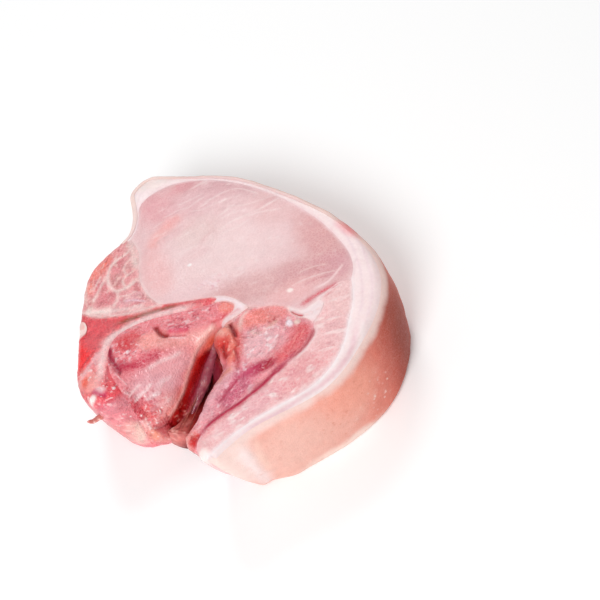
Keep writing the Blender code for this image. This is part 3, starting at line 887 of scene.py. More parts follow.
@dataclass
class Loin:
    """The loin eye, pale and close-grained, and the redder chine muscle beside it."""

    line: str = "#f6e2e0"
    web: str = "#f4d8d3"

    def eye(self) -> Slice:
        """The big round muscle of the cut face, with its thin pale lines."""
        marks = (
            # Partly painted sheen: the paler centre is partly the muscle's own tone and partly a painted
            # highlight.
            face_patch(4, 20, 24, 16, "#efd0d0", 0.9, soft=0.7),
            face_patch(-12, 54, 8, 10, "#e39da3", 0.9, turn=15, soft=0.6),
            face_patch(2, 61, 9, 4, "#e2959b", 0.9, soft=0.6),
            face_patch(16, 53, 14, 6, "#dba6ab", 0.85, turn=-25, soft=0.6),
            face_patch(2, 50, 12, 6, "#e2afb4", 0.7, soft=0.6),
            face_patch(31, 34, 10, 10, "#e4b2b2", 0.6, soft=0.6),
            face_patch(-20, 22, 6, 12, "#eeb4b4", 0.8, soft=0.6),
            face_patch(-1, 34, 9, 6, "#e6c6c3", 0.7, soft=0.6),
            face_patch(44, 8, 9, 20, "#d69494", 0.9, soft=0.6),
            face_patch(43, -7, 9, 6, "#d4939c", 0.9, soft=0.6),
            face_patch(32, -6, 14, 8, "#d08c8e", 0.85, soft=0.6),
            face_patch(26, -12, 10, 5, "#eab0b0", 0.8, soft=0.6),
            face_patch(10, -4, 14, 7, "#d69e9e", 0.85, soft=0.6),
            face_patch(-10, 6, 12, 4, "#ecc8cb", 0.6, soft=0.6),
            face_line(2.6, "#f2a39f", 0.8, (-20, 33), (-16, 39), (-10, 43), (-4, 46)),
            Grain(5.0, "#dfa3a8", 0.35, 0.08, (10, 45, 34), (36, 24, 8), 22, 2.2, 0.05, 4),
            Grain(1.1, "#f8e4e2", 0.6, 0.0, (14, 46, 34), (34, 20, 8), 18, 6.0, 0.25, 9),
            Grain(1.1, "#cf959b", 0.45, -0.04, (14, 50, 34), (28, 14, 8), 18, 6.0, 0.3, 10),
            Grain(2.0, "#f7e4e3", 0.3, 0.0, (10, 12, 34), (46, 30, 8), 10, 1.6, 0.3, 8),
            face_line(0.35, self.line, 0.6, (8, 30.6), (13.7, 32.7), (19.2, 33.2), (26.3, 33.7),
                      (34.4, 35.8), lift=0.08),
            face_line(0.35, self.line, 0.6, (5.6, 48.2), (9.3, 48.2), (13.7, 49.2), (20, 48.4),
                      (27, 42), lift=0.05),
            face_line(0.32, self.line, 0.5, (-5.1, 51.6), (0.9, 52), (7.3, 52.8)),
            face_line(0.32, self.line, 0.5, (-1, 46), (5, 44.6), (12, 45), (18, 44.6)),
            face_line(0.32, self.line, 0.5, (14, 41), (19.7, 38.6), (27.4, 38.2), (33, 38.4)),
            face_line(0.35, self.line, 0.6, (19, 31.8), (23.1, 32.2), (28.2, 31.2), (33.5, 30)),
            face_line(0.32, self.line, 0.5, (7, 28), (9.8, 28.6), (16, 28.9), (21, 30.6)),
            face_line(0.3, self.line, 0.45, (-12, 47.4), (-6, 48.6), (0, 48.4)),
            face_line(0.3, self.line, 0.45, (9, 36), (15, 36.6), (21, 36)),
            face_line(0.5, "#cd9299", 0.5, (7.7, 55), (13.8, 53.6), (19.7, 50.6), lift=-0.05),
            face_line(0.5, "#cf989d", 0.5, (10, 40.6), (16, 40), (22, 40.6), lift=-0.05),
            face_line(0.35, self.line, 0.5, (27, -9.6), (31, -9), (37.1, -9.2), (44.7, -10.4)),
            face_line(0.4, "#d58c94", 0.5, (30, -11.4), (36, -11), (42, -11.6), lift=-0.1),
            face_line(0.3, self.line, 0.45, (30, -5), (36, -4.4), (42, -5.6)),
            face_patch(-7, 18.6, 0.9, 0.7, "#ffffff", 0.7),
            face_patch(25.5, -11.3, 1.2, 1.0, "#fdf0ea", 0.8),
            Grain(1.3, "#f6dfe4", 0.6, 0.05, (0, 4.5, 34), (7, 3.5, 6), 0, 1, 0.1, 12),
            Grain(1.3, "#d98ba0", 0.5, -0.05, (0, 4.5, 34), (7, 3.5, 6), 0, 1, 0.2, 13),
        )
        return Slice("loin_eye_meat", "loin_eye", "loin_meat", PALE_MUSCLE, "#e6bcbe", "fat_eye",
                     "-eye_chine -eye_bone -eye_cap -eye_inner -eye_wedge -eye_flank",
                     (15, 15), 0.25, marks=marks)

    def chine(self) -> Slice:
        """The small muscle over the backbone, in bundles with white seams between them."""
        marks = (
            face_line(3.4, "#fa7c6c", 0.97, (-34, 38), (-37.5, 35.6), (-42, 32), (-45.6, 27),
                      (-47, 22)),
            face_patch(-33.2, 32, 3, 4, "#dc747e", 0.85),
            face_patch(-41.8, 24.7, 3, 4, "#da747c", 0.85),
            face_patch(-35.4, 23.4, 3, 4, "#cc7f80", 0.8),
            face_patch(-41, 17.6, 4, 3, "#d9757e", 0.8),
            face_patch(-30, 28.5, 3, 4, "#df9a98", 0.7),
            face_patch(-32, 12.6, 6, 3, "#e6a4aa", 0.8),
            Grain(1.5, "#c45f68", 0.5, -0.12, None, turn=60, stretch=1.8, threshold=0.05, seed=5),
            Grain(1.3, "#f8cfc8", 0.55, 0.08, None, turn=60, stretch=1.6, threshold=0.12, seed=6),
            face_line(1.9, "#f1d8d2", 0.85, (-26.6, 42), (-26.4, 36), (-26.6, 31), (-26.4, 26)),
            face_line(0.8, self.web, 0.9, (-26.4, 40), (-28.7, 36.6), (-32.3, 35), (-36.1, 32.2),
                      (-38.1, 28.2), (-38.4, 22.8), (-36.3, 19), (-32.7, 18.9), (-29.6, 20.1),
                      (-26.7, 22.4), lift=-0.15, broken=0.15),
            face_line(0.7, self.web, 0.85, (-35.9, 18.8), (-37.2, 14.8), (-39.6, 11.9), lift=-0.1),
            face_line(0.7, self.web, 0.8, (-38.1, 28.2), (-41, 25.4), (-43.6, 22), (-46.6, 18)),
            face_line(0.6, self.web, 0.8, (-32.7, 18.9), (-33.1, 22.8), (-30.6, 24.9),
                      (-27.2, 26.3)),
            face_line(0.5, self.web, 0.7, (-31, 24.8), (-31.6, 28.4), (-29.6, 31.4), (-27, 33)),
            face_line(0.5, self.web, 0.7, (-40.4, 29.8), (-43, 26.6), (-45.4, 23)),
            face_line(0.5, self.web, 0.6, (-29, 15.6), (-33, 15), (-36.6, 16)),
            face_line(0.6, "#e9cfe0", 0.6, (-35, 13), (-30.6, 11.2), (-26.4, 8.4)),
            face_line(1.7, "#f7e2dc", 0.95, (-50.6, 15.6), (-48.9, 14.2), (-44.8, 12.2),
                      (-39.7, 10.6), lift=0.15, broken=0.1),
            face_line(1.1, "#f0d2d0", 0.85, (-42, 11), (-38, 9.8), (-33.8, 8.6), (-27, 7.2)),
            face_line(1.2, "#f6cfc8", 0.7, (-49.6, 19), (-48.6, 24), (-46.6, 29)),
            Grain(4.0, "#f6d6ca", 0.8, 0.3, (-46, 25, 13), (14, 20, 16), 0, 1, 0.0, 7),
            Grain(1.6, "#c8626a", 0.6, -0.15, (-46, 25, 13), (14, 20, 16), 0, 1, 0.2, 14),
            Patch((-45, 27, 12), (12, 16, 12), "#f2a296", 0.6),
        )
        return Slice("chine_muscle_meat", "chine_muscle", "chine_meat", RED_MUSCLE, "#e79698",
                     "-chine_out", "back_end -eye_chine chine_bone", (8, 8), 0.25, 0.45, 0.6,
                     marks=marks, uneven=0.3)

    def build(self) -> list[bpy.types.Object]:
        """Makes both muscles."""
        return [self.eye().build(), self.chine().build()]


@dataclass
class Backbone:
    """The sawn vertebra: a red spongy body and side process with pale cortical edges, and the cut
    spinal cord in its canal."""

    cortex: str = "#f8dedd"

    def bone(self) -> Slice:
        """The vertebra with its side process."""
        marks = (
            Grain(1.2, "#b8323c", 0.6, -0.15, None, threshold=0.1, seed=21),
            Grain(1.0, "#f8a8a4", 0.4, 0.08, None, threshold=0.25, seed=22),
            Level(30.0, 26.0, "#ea8f98", 0.9),
            Patch((-59, -4, 15), (5, 18, 20), "#d84c54", 0.9, soft=0.7),
            Grain(1.3, "#f6b8b0", 0.7, 0.15, (-59, -4, 15), (6, 20, 22), threshold=0.1, seed=30),
            Grain(1.6, "#8c1c26", 0.6, -0.25, (-59, -4, 15), (6, 20, 22), threshold=0.2, seed=31),
            Patch((-58, -17, 15), (4, 2.4, 20), "#f0bcb8", 0.5, ragged=0.7),
            Patch((-52, -29, 29), (5, 3, 3), "#dc7080", 0.9, ragged=0.5),
            Patch((-47, -29, 28), (5, 4, 3), "#e0909a", 0.8),
            Patch((-46.5, -31, 11), (3.6, 3, 7), "#f8d6ca", 0.95, lift=0.5, ragged=0.4),
            Patch((-52, -29, 13), (6, 4, 7), "#ea8c8c", 0.75),
            Patch((-57, -26, 5), (9, 8, 4), "#eeaaa6", 0.8),
            Grain(1.6, "#f8c4c0", 0.45, 0.15, (-52, -28, 16), (8, 5, 14), 20, 1.8, 0.2, 23),
            Grain(1.8, "#c65864", 0.45, -0.2, (-50, -29, 20), (8, 5, 12), 20, 1.8, 0.15, 24),
            # Painted highlights: near-white specks that stand for wet glints on the sawn wall.
            Grain(1.0, "#fff2f0", 0.9, 0.15, (-50, -29, 20), (10, 6, 12), threshold=0.34, seed=27),
            face_patch(-46, 6.5, 7, 4, "#e4505a", 0.8, turn=-15),
            face_patch(-36, 3.6, 6, 2.2, "#e05a60", 0.85),
            face_line(0.9, "#e4545c", 0.9, (-22, 3.6), (-15, 1.9), (-8, 0.4), (-4, -0.6)),
            face_line(1.0, "#96503c", 0.97, (-40, 3.4), (-34, 3.2), (-27, 3.2), (-20.5, 2.6),
                      (-15, 1.6), lift=-0.4, broken=0.1),
            face_patch(-56.6, -5.6, 5, 8.5, "#f83a3e", 0.97),
            face_patch(-50, -1, 4, 3.6, "#e05c64", 0.7),
            face_patch(-55, -18.4, 4, 5.4, "#f49c98", 0.92),
            face_patch(-56.6, -17.4, 1.4, 3.4, "#f26854", 0.85),
            # Painted highlights: near-white specks that stand for wet glints on the sawn face.
            Grain(1.0, "#fff0f0", 0.85, 0.1, (-51, -21, 33), (8, 12, 5), threshold=0.2, seed=25),
            Grain(1.0, "#a82834", 0.7, -0.15, (-48, 2, 34), (14, 9, 5), threshold=0.3, seed=26),
            face_patch(-54.4, -22, 2.4, 1.8, "#f2a49e", 0.8),
            face_line(1.9, self.cortex, 0.97, (-8, -2.2), (-15.5, -1), (-22.9, 0.2), (-30.8, 0.4),
                      (-36.8, -0.9), (-42, -2.2), (-46.2, -6.1), (-48.6, -11.6), (-50.4, -18),
                      (-52.2, -22.4), lift=0.25, broken=0.35),
            face_line(1.1, "#f0bcc0", 0.9, (-48.5, -7.4), (-52.3, -10.8), (-55.2, -13.6),
                      (-58.6, -16.6), lift=0.15, broken=0.1),
            face_line(0.5, "#b8404a", 0.8, (-50, -5.6), (-53.6, -8.6), (-57.6, -11.6), lift=-0.2),
            face_line(0.6, "#c2525e", 0.7, (-46.6, -14.6), (-48, -19), (-49, -22.6), lift=-0.3),
            face_patch(-52.2, -24.6, 2.2, 1.6, "#f3dadc", 0.8),
            face_line(1.2, "#cc4468", 0.95, (-55, -23.4), (-52.4, -26.2), (-49.6, -28), lift=-0.4),
            face_patch(-55.6, -26.5, 1.7, 1.2, "#fff4f0", 0.95),
        )
        return Slice("vertebra_bone", "vertebra", "bone", SAWN_BONE, "#e65660",
                     "eye_bone chine_bone bone_saw cord_in bone_out", "bone_tip bone_fillet",
                     (1.5, 6), 0.25, 0.4, 0.5, marks=marks, uneven=0.35)

    def cord(self) -> Slice:
        """The stub of the spinal cord."""
        marks = (
            Grain(2.0, "#f4b8b0", 0.7, 0.0, None, threshold=0.0, seed=28),
            Grain(1.1, "#d8606a", 0.6, -0.15, (-56, 7, 14), (4, 6, 18), threshold=0.25, seed=29),
            Patch((-55, 3, 16), (3, 1.6, 20), "#e8848a", 0.8),
            Patch((-53.6, 11, 16), (3, 1.6, 20), "#e8848a", 0.8),
        )
        return Slice("spinal_cord_stub", "spinal_cord", "cord", SOFT_FAT, "#fbdcd6", "cord_out",
                     "cord_in", (1, 1), -0.4, 0.5, marks=marks, uneven=0.5)

    def scrap(self) -> Fold:
        """A shred of tissue that the saw left on the bone's corner."""
        return Fold("bone_scrap", "vertebra", "bone", SAWN_BONE, "#cf7c74", 1.1, 0.8,
                    ((-53.6, -26.6, 21.6), (-56.4, -27.2, 22.8), (-59, -27, 21.8),
                     (-61.2, -27.2, 23)), uneven=0.7,
                    marks=(Grain(1.2, "#f8dcd4", 0.8, threshold=0.1, seed=32),))

    def build(self) -> list[bpy.types.Object]:
        """Makes the bone, its scrap and the cord."""
        return [self.bone().build(), self.scrap().build(), self.cord().build()]


@dataclass
class Tenderloin:
    """The fillet under the bone, wet and folded, and the fat that caps its end."""

    silver: str = "#e8b2b8"
    dark: str = "#98101c"

    def groove(self) -> tuple[Mark, ...]:
        """The fillet's deep side: a pale rim that is partly painted light, orange below it, then blood
        red darkened in the groove's depth partly as painted shade, with a grey purple fold and a painted
        shadow beside it.
        """
        return (
            # Painted light: this pale rim patch is lighter than the tissue, to offset the shade on this
            # wall.
            Patch((-9, -16.2, 28.6), (7, 4, 5.6), "#ffbcb6", 0.92, soft=0.8),
            Patch((-8.2, -15.8, 27.6), (3.4, 3, 3.2), "#f4603e", 0.8, soft=0.9),
            Strand(((-9.4, -16.2, 27), (-12.4, -17.6, 25.6), (-15.6, -19.2, 23.2),
                    (-19.2, -21.2, 20), (-23, -23.4, 17), (-26.5, -25.8, 14.2),
                    (-32.1, -29.1, 10.8), (-36, -31, 8.6)), 2.9, "#e83c28", 0.9, -0.2, 0.3),
            Strand(((-9, -16.2, 24.4), (-12, -17.4, 23), (-15.3, -19.2, 20.6),
                    (-19, -21.2, 17.6), (-23, -23.4, 15), (-26.5, -25.8, 12.2),
                    (-32.1, -29.1, 9), (-36, -31, 7.4)), 2.9, "#b81812", 0.95, -0.4, 0.15),
            # Partly painted shade: the darkest strand in the groove's depth is blood red, darkened
            # further as shade.
            Strand(((-10, -17.2, 22), (-14.6, -19.4, 16.4), (-19, -21.8, 13), (-23, -24.2, 11),
                    (-28.1, -28, 8.6), (-32, -30.6, 6.6)), 2.8, self.dark, 0.97, -1.0, 0.1, False),
            # Painted light: a pale rim strand, lighter than the tissue, that offsets the wall's shade.
            Strand(((-6, -13.9, 32.4), (-9.7, -15.5, 31.4), (-13.3, -16.9, 29), (-17.7, -19.1, 25),
                    (-22, -22, 20.6), (-25.5, -24.6, 16.4), (-31.1, -28.1, 13),
                    (-36.1, -30.3, 10)), 1.0, "#ffc6be", 0.85, 0.35, 0.4, False),
            Patch((-35.2, -30.4, 9), (3.6, 3, 3.8), "#ae3e46", 0.9, ragged=0.6),
            Grain(1.3, "#7c1c26", 0.7, -0.25, (-30, -29, 8), (9, 5, 5), threshold=0.1, seed=44),
            Grain(1.1, "#f0a094", 0.6, 0.15, (-31, -29, 8), (9, 5, 6), threshold=0.2, seed=45),
            Strand(((-9, -16.7, 22), (-11.8, -18, 18.4), (-14.6, -19.2, 15.6), (-17.9, -21.2, 12.6),
                    (-21, -23.3, 10.4), (-24, -25.4, 9)), 1.5, "#a85664", 0.9, 0.6, 0.15),
            # Painted shadow: the near-black line beside the fold, where the gap lies in shade.
            Strand(((-12.6, -18.6, 13), (-15.4, -20, 9.6), (-17.8, -21.6, 8.6),
                    (-20.6, -23.6, 7.8)), 1.1, "#5a0a12", 0.95, -0.6, 0.1),
        )

    def meat(self) -> Slice:
        """The fillet, with its cut bundles above and silver skin on its side."""
        marks = (
            Grain(1.3, "#c2485a", 0.4, -0.2, (-38, -8, 33), (11, 10, 8), 40, 1.8, 0.15, 33),
            Grain(1.2, "#f8d0d0", 0.6, 0.12, (-38, -10, 33), (12, 10, 8), 40, 1.6, 0.1, 36),
            face_patch(-37.3, -7.2, 5.4, 4.2, "#d63840", 0.95),
            face_patch(-28.6, -11, 6, 4, "#f49a92", 0.9),
            face_patch(-20, -14.6, 8, 3, "#eca09a", 0.8),
            Grain(1.0, "#f6e0e4", 0.95, 0.2, (-40, -12, 33), (7, 5, 6), threshold=0.05, seed=37),
            Grain(1.0, "#b02e48", 0.8, -0.2, (-40, -12, 33), (7, 6, 6), threshold=0.2, seed=38),
            Patch((-33, -24, 25), (13, 5, 9), self.silver, 0.95, soft=0.6),
            Patch((-24, -20, 28), (9, 4, 5), "#f0b2b6", 0.85, soft=0.6),
            Patch((-35, -27, 18), (9, 4, 6), "#e8a4a8", 0.85, soft=0.6),
            Patch((-31, -27, 14), (8, 4, 6), "#e8a09c", 0.85, soft=0.6),
            Patch((-34, -30, 9), (6, 3, 4), "#dc8e88", 0.8, soft=0.6),
            face_line(2.4, "#bc2444", 0.95, (-43.4, -14.6), (-40.4, -18.2), (-35.6, -19.4),
                      (-30.4, -18.4), (-26, -17.8), lift=-0.3),
            face_line(1.3, "#a01a3c", 0.97, (-44.6, -5.6), (-45, -11.5), (-43.9, -16.8),
                      (-42.6, -21.6), lift=-0.9, broken=0.1),
            Patch((-42.4, -28, 21), (4.8, 3.4, 7.6), "#d03848", 0.9, ragged=0.6),
            Patch((-38.5, -28, 17), (3, 3, 5), "#dc4c50", 0.85, ragged=0.6),
            Patch((-42, -30, 12.4), (1.4, 2.4, 3), "#f6cac4", 0.9, lift=0.4),
            Patch((-43, -31, 8), (5, 3, 4), "#ee968e", 0.85),
            Patch((-37.6, -31.4, 6), (4, 3, 4), "#dc9088", 0.85),
            Patch((-40.4, -31, 7), (1.6, 2, 3), "#ef9a80", 0.8),
            Strand(((-42.9, -27.3, 24), (-38.7, -25.5, 25), (-33.8, -23.8, 27)), 0.6, "#f6dede",
                   0.85, 0.15),
            Strand(((-43.8, -26.8, 27), (-40.5, -24.8, 28), (-37.4, -24, 28.6)), 0.5, "#f6dcdc",
                   0.8, 0.15),
            Strand(((-38.6, -26.4, 22), (-34, -25.4, 23), (-29, -23.6, 25)), 0.5, "#f2cfd0", 0.6,
                   0.1),
            Strand(((-45, -19.6, 34), (-44, -22, 33.6), (-42.2, -24.6, 31)), 0.3, "#f3d4d6", 0.8,
                   0.2, 0.4),
            Strand(((-46.8, -23, 33), (-45.2, -25.4, 31), (-42.6, -26.6, 28)), 0.3, "#f3d4d6",
                   0.8, 0.2, 0.4),
            # Painted highlights: near-white specks that stand for wet glints on the fillet's wall.
            Grain(1.0, "#fff6f4", 0.95, 0.2, (-41, -28, 18), (9, 6, 13), threshold=0.22, seed=39),
            Grain(1.2, "#c03044", 0.75, -0.2, (-41, -28, 20), (9, 6, 12), threshold=0.15, seed=40),
            Grain(1.2, "#fbe4de", 0.85, 0.2, (-37, -30, 10), (12, 6, 9), threshold=0.25, seed=42),
            Grain(1.2, "#d47068", 0.7, -0.2, (-36, -30, 9), (11, 6, 8), threshold=0.15, seed=43),
            Strand(((-18.6, -18.1, 30.6), (-23.8, -19.4, 31.4), (-28.4, -20.2, 32),
                    (-34.3, -21.4, 32)), 0.9, "#f4d4d4", 0.75, 0.15),
            face_line(2.3, "#e0506a", 0.98, (-22.4, -8.8), (-18.6, -10.4), (-14, -12.2),
                      lift=0.5, broken=0.0),
            face_line(0.9, "#940c16", 0.99, (-25.8, -4.4), (-25.6, -7.2), (-24.4, -9.8),
                      (-22, -11.9), lift=-1.0, broken=0.0),
            face_line(0.5, "#b83448", 0.8, (-22.6, -11.8), (-19.4, -13.1), (-15.6, -14.3),
                      lift=-0.3, broken=0.3),
            face_line(0.4, "#f6ccd0", 0.8, (-22.6, -12.6), (-19, -14.4), (-15.6, -15.2),
                      lift=0.2, broken=0.4),
            Grain(1.2, "#f4c4c8", 0.85, 0.2, (-12, -6.6, 34), (10, 5, 6), 0, 1, 0.05, 31),
            Grain(1.2, "#c43e56", 0.75, -0.25, (-12, -6.6, 34), (10, 5, 6), 0, 1, 0.1, 32),
            face_patch(1.2, -8.1, 3, 3, "#f4857a", 0.95, lift=0.3),
            face_line(0.7, "#d04850", 0.8, (-6, -12.6), (-2, -12.2), (1.4, -10.6), lift=-0.4),
            Strand(((-5.4, -13.4, 33), (-8.6, -14.6, 32.4), (-12, -15.6, 31.6),
                    (-14.4, -16.6, 30)), 0.9, "#f3d6cc", 0.9, 0.4),
            Grain(2.4, "#f4dcdf", 0.45, 0.1, (-33, -25, 24), (13, 5, 9), 10, 3.0, 0.1, 34),
            Grain(2.2, "#d08c98", 0.3, -0.1, (-33, -25, 24), (13, 5, 9), 10, 3.0, 0.15, 35),
        ) + self.groove()
        film = (Patch((-29, -24, 24), (13, 6, 11)), face_patch(-37.3, -7.2, 5, 4, None, 0.7),
                face_line(2.4, None, 0.9, (-22.4, -8.8), (-18.6, -10.4), (-14, -12.2)),
                face_line(2.0, None, 0.8, (-43.4, -14.6), (-40.4, -18.2), (-35.6, -19.4)),
                Strand(((-6, -14.4, 31), (-14, -18.6, 22), (-22, -23, 15), (-31.1, -28.9, 9),
                        (-36, -31, 7)), 6.0, broken=0.0, tapered=False))
        return Slice("fillet_meat", "fillet", "fillet_meat", RED_MUSCLE, "#ec8088", "bone_fillet",
                     "fillet_cap fillet_web fillet_out", (5, 5), 0.25, 0.34, 0.4, marks=marks, film=film,
                     uneven=0.35)

    def cap(self) -> Slice:
        """The fat between the fillet, the eye and the flank."""
        marks = (
            Grain(1.6, "#efbcba", 0.5, 0.1, None, threshold=0.1, seed=41),
            face_line(0.9, "#f6e4ea", 0.8, (-2, -2.4), (2, -5), (5.6, -9), (7, -12)),
            face_line(0.6, "#e08a92", 0.7, (-1, -11.6), (2.4, -12), (5.6, -11)),
        )
        return Slice("fillet_cap_fat", "fillet_fat", "seam_fat", SOFT_FAT, "#edd0d3",
                     "-eye_cap cap_flank", "bone_tip fillet_cap cap_end", (1, 1), marks=marks,
                     step=0.5)

    def build(self) -> list[bpy.types.Object]:
        """Makes the fillet and its cap."""
        return [self.meat().build(), self.cap().build()]


@dataclass
class Belly:
    """The two flank muscles that run down into the flap, and the fat wedge between them."""

    def lobe(self) -> tuple[Mark, ...]:
        """The orange lobe over the cavity, with its pits and slits."""
        return (
            face_patch(-2, -24, 5, 10, "#e04038", 0.95, lift=0.4),
            face_patch(-3, -17, 4, 3.4, "#e8988a", 0.85),
            face_patch(-1.8, -19.2, 3.4, 2.6, "#f6b6aa", 0.85, soft=0.8),
            face_line(1.3, "#ee8676", 0.85, (-3.4, -16.8), (-1, -20.1), (-0.6, -27.3),
                      (-1.9, -32.6), (-5.4, -35.4), lift=0.7, broken=0.2),
            Grain(1.0, "#f8b0a4", 0.7, 0.1, (-2, -24, 34), (4, 11, 6), threshold=0.2, seed=65),
            Grain(1.2, "#c02c28", 0.6, -0.1, (-2, -28, 34), (4, 8, 6), threshold=0.2, seed=66),
            # Partly painted shade: the sunk slit on the lobe's left is dark red partly as its own colour
            # and partly as shade.
            face_line(1.5, "#a01810", 0.97, (-4.8, -24), (-5.6, -28), (-4.8, -31.6), lift=-1.0,
                      broken=0.0),
            face_line(0.8, "#8a1426", 0.97, (0.4, -15.6), (1, -20.2), (1.3, -24.6), lift=-0.8,
                      broken=0.0),
            face_line(0.8, "#b83440", 0.85, (-0.1, -29.4), (-0.6, -34.7), (-2.3, -38.4),
                      lift=-0.6),
            Patch((-6.4, -20, 27), (4, 8, 6), "#c04030", 0.85),
        )

    def inner(self) -> Slice:
        """The red inner flank, coarse and stringy."""
        marks = (
            Grain(1.3, "#d0646e", 0.3, -0.15, None, threshold=0.1, turn=35, stretch=2.2, seed=55),
            Grain(1.3, "#f8d4d4", 0.5, 0.1, None, threshold=0.15, turn=35, stretch=1.6, seed=56),
            # Painted highlights: near-white specks all over that stand for wet glints.
            Grain(0.9, "#fff0f0", 0.8, 0.1, None, threshold=0.38, seed=59),
            face_patch(11, -18.6, 8, 4.4, "#f5837a", 0.95),
            face_patch(19, -19, 5, 3.4, "#e6807e", 0.85),
            face_line(0.9, "#fbd4cd", 0.9, (9.1, -13.6), (6, -15.3), (3.9, -19.4), (2.8, -24),
                      lift=0.3),
            Grain(1.5, "#b44450", 0.8, -0.3, (11, -23.4, 34), (7, 2.6, 5), 20, 1.4, -0.1, 51),
            Grain(1.5, "#fad0c0", 0.7, 0.15, (11, -23.4, 34), (7, 3, 5), 20, 1.4, 0.1, 57),
            face_line(0.8, "#f0b8a4", 0.7, (6, -27), (12, -25.6), (18, -22.6)),
            face_patch(9, -31.4, 8, 6.6, "#ebb4ba", 0.85),
            Grain(1.3, "#fbe6e8", 0.75, 0.12, (9, -31, 34), (9, 7, 5), 30, 1.3, 0.05, 52),
            Grain(1.3, "#c4707c", 0.5, -0.15, (9, -31, 34), (9, 7, 5), 30, 1.3, 0.25, 58),
            face_line(3.6, "#e2585e", 0.97, (26.4, -27.4), (24, -32), (20, -36.4), (15.4, -39.4),
                      (10.6, -42), broken=0.1),
            face_line(0.9, "#d84852", 0.85, (27.2, -30), (24.6, -35.6), (19.6, -39.6),
                      (14, -42.4), broken=0.1),
            Grain(0.9, "#f0908e", 0.5, 0.06, (19, -35, 34), (13, 5, 5), 48, 6.0, 0.15, 60),
            Grain(0.9, "#cc4450", 0.4, -0.06, (19, -35, 34), (13, 5, 5), 48, 6.0, 0.2, 61),
            face_patch(6.4, -41.6, 5.6, 2.6, "#b4123c", 0.98, turn=8),
            face_patch(-4, -46, 10, 4.8, "#cc5876", 0.92, turn=38),
            Grain(1.3, "#b04a66", 0.5, -0.2, (-5, -46, 34), (14, 6, 6), 40, 2.0, 0.15, 53),
            Grain(1.1, "#f8d8e0", 0.6, 0.12, (-5, -46, 34), (14, 6, 6), 40, 1.4, 0.22, 54),
            face_line(2.0, "#e6a4ae", 0.92, (-2.6, -38.6), (-6.4, -40.6), (-11, -44.6),
                      (-15.4, -48.3), (-18.8, -51.9), (-22, -56.4), lift=0.5, broken=0.15),
            face_line(1.2, "#ee9c86", 0.85, (-3, -37.4), (-7, -38), (-10.4, -41)),
            face_line(0.6, "#b43c54", 0.85, (-1.4, -42), (-6.4, -45.2), (-12, -50), lift=-0.5),
            face_line(0.7, "#c03454", 0.8, (20, -40.2), (15, -43), (9, -45.6), broken=0.1),
            face_line(2.0, "#cc0a10", 0.99, (-21.6, -59.6), (-23.6, -62.2), (-25.2, -65),
                      lift=-0.8, broken=0.0),
            face_line(0.4, "#f6c4cc", 0.7, (-1, -50.4), (-8, -53.2), (-15, -56)),
            face_patch(21.2, -26.3, 1.2, 1.8, "#f8e8f0", 0.95, lift=0.2),
            face_patch(24, -26.8, 1.2, 1.2, "#f4dccf", 0.8),
            Patch((-9, -37, 20), (6, 8, 13), "#9a3a4c", 0.8),
            Patch((-17, -48, 20), (6, 9, 14), "#dda0ac", 0.85),
            Patch((-26, -60, 20), (5, 6, 16), "#f09888", 0.85),
            Patch((-24, -62.4, 31), (2.6, 2.6, 5), "#c80c10", 0.95),
        ) + self.lobe()
        film = (Patch((-3, -26, 34), (7, 13, 8), None, 0.7), face_patch(5, -41.4, 6, 3, None, 0.9),
                face_line(3.0, None, 0.7, (26.4, -27.4), (22, -34), (15.4, -39.4), (10.6, -42)))
        return Slice("inner_flank_meat", "flank_inner", "flank_red_meat", RED_MUSCLE, "#ea949c",
                     "-inner_web -inner_out", "-cap_flank -eye_inner wedge_inner flank_seam "
                     "inner_tip", (6, 2), 0.25, 0.45, 0.6, marks=marks, film=film, uneven=0.4)

    def outer(self) -> Slice:
        """The pale outer flank, with fine fibres that stand square to the fat."""
        marks = (
            face_patch(43, -24, 6, 9, "#edbfbe", 0.8),
            face_patch(34, -38, 7, 8, "#ecb2b4", 0.7),
            face_patch(18, -50, 14, 5, "#e8969a", 0.85, turn=25),
            face_patch(-2, -57, 14, 4, "#e9a4ac", 0.8, turn=22),
            Grain(1.2, "#fbe6e4", 0.6, 0.08, (36, -34, 34), (11, 14, 6), -5, 5.0, 0.1, 61),
            Grain(1.2, "#d9929a", 0.45, -0.08, (36, -34, 34), (11, 14, 6), -5, 5.0, 0.2, 62),
            Grain(1.5, "#fcebe8", 0.75, 0.12, (4, -56, 34), (24, 6, 6), 20, 2.2, 0.05, 63),
            Grain(1.5, "#d9808c", 0.5, -0.12, (4, -56, 34), (24, 6, 6), 20, 2.2, 0.15, 64),
            face_line(0.7, "#fbe4e4", 0.85, (29.4, -31.6), (28.6, -35.4), (24.4, -39.6),
                      (18.6, -43.6)),
            face_line(1.4, "#ee8088", 0.7, (-2, -52.4), (-9, -55.2), (-16, -58.6), (-22, -63.4)),
            face_patch(-22.6, -69, 2.4, 2.2, "#f9e6e2", 0.9),
        )
        return Slice("outer_flank_meat", "flank_outer", "flank_pale_meat", FLANK_MUSCLE, "#efb9ba",
                     "eye_flank wedge_flank flank_seam -outer_tip", "fat_flank", (3, 2), 0.25,
                     marks=marks, uneven=0.2)

    def wedge(self) -> Slice:
        """The small wedge of fat under the eye."""
        marks = (
            Grain(1.6, "#f2c6c4", 0.3, 0.1, None, threshold=0.1, seed=71),
            face_line(0.7, "#c8242e", 0.97, (22.8, -21), (24.6, -23.4), (27, -25), lift=-0.6,
                      broken=0.0),
        )
        return Slice("flank_wedge_fat", "fat_wedge", "wedge_fat", SOFT_FAT, "#eed6d8",
                     "wedge_inner", "-eye_wedge wedge_flank", (2, 2), 0.1, 0.5, marks=marks)

    def build(self) -> list[bpy.types.Object]:
        """Makes the two muscles and the wedge."""
        return [self.inner().build(), self.outer().build(), self.wedge().build()]


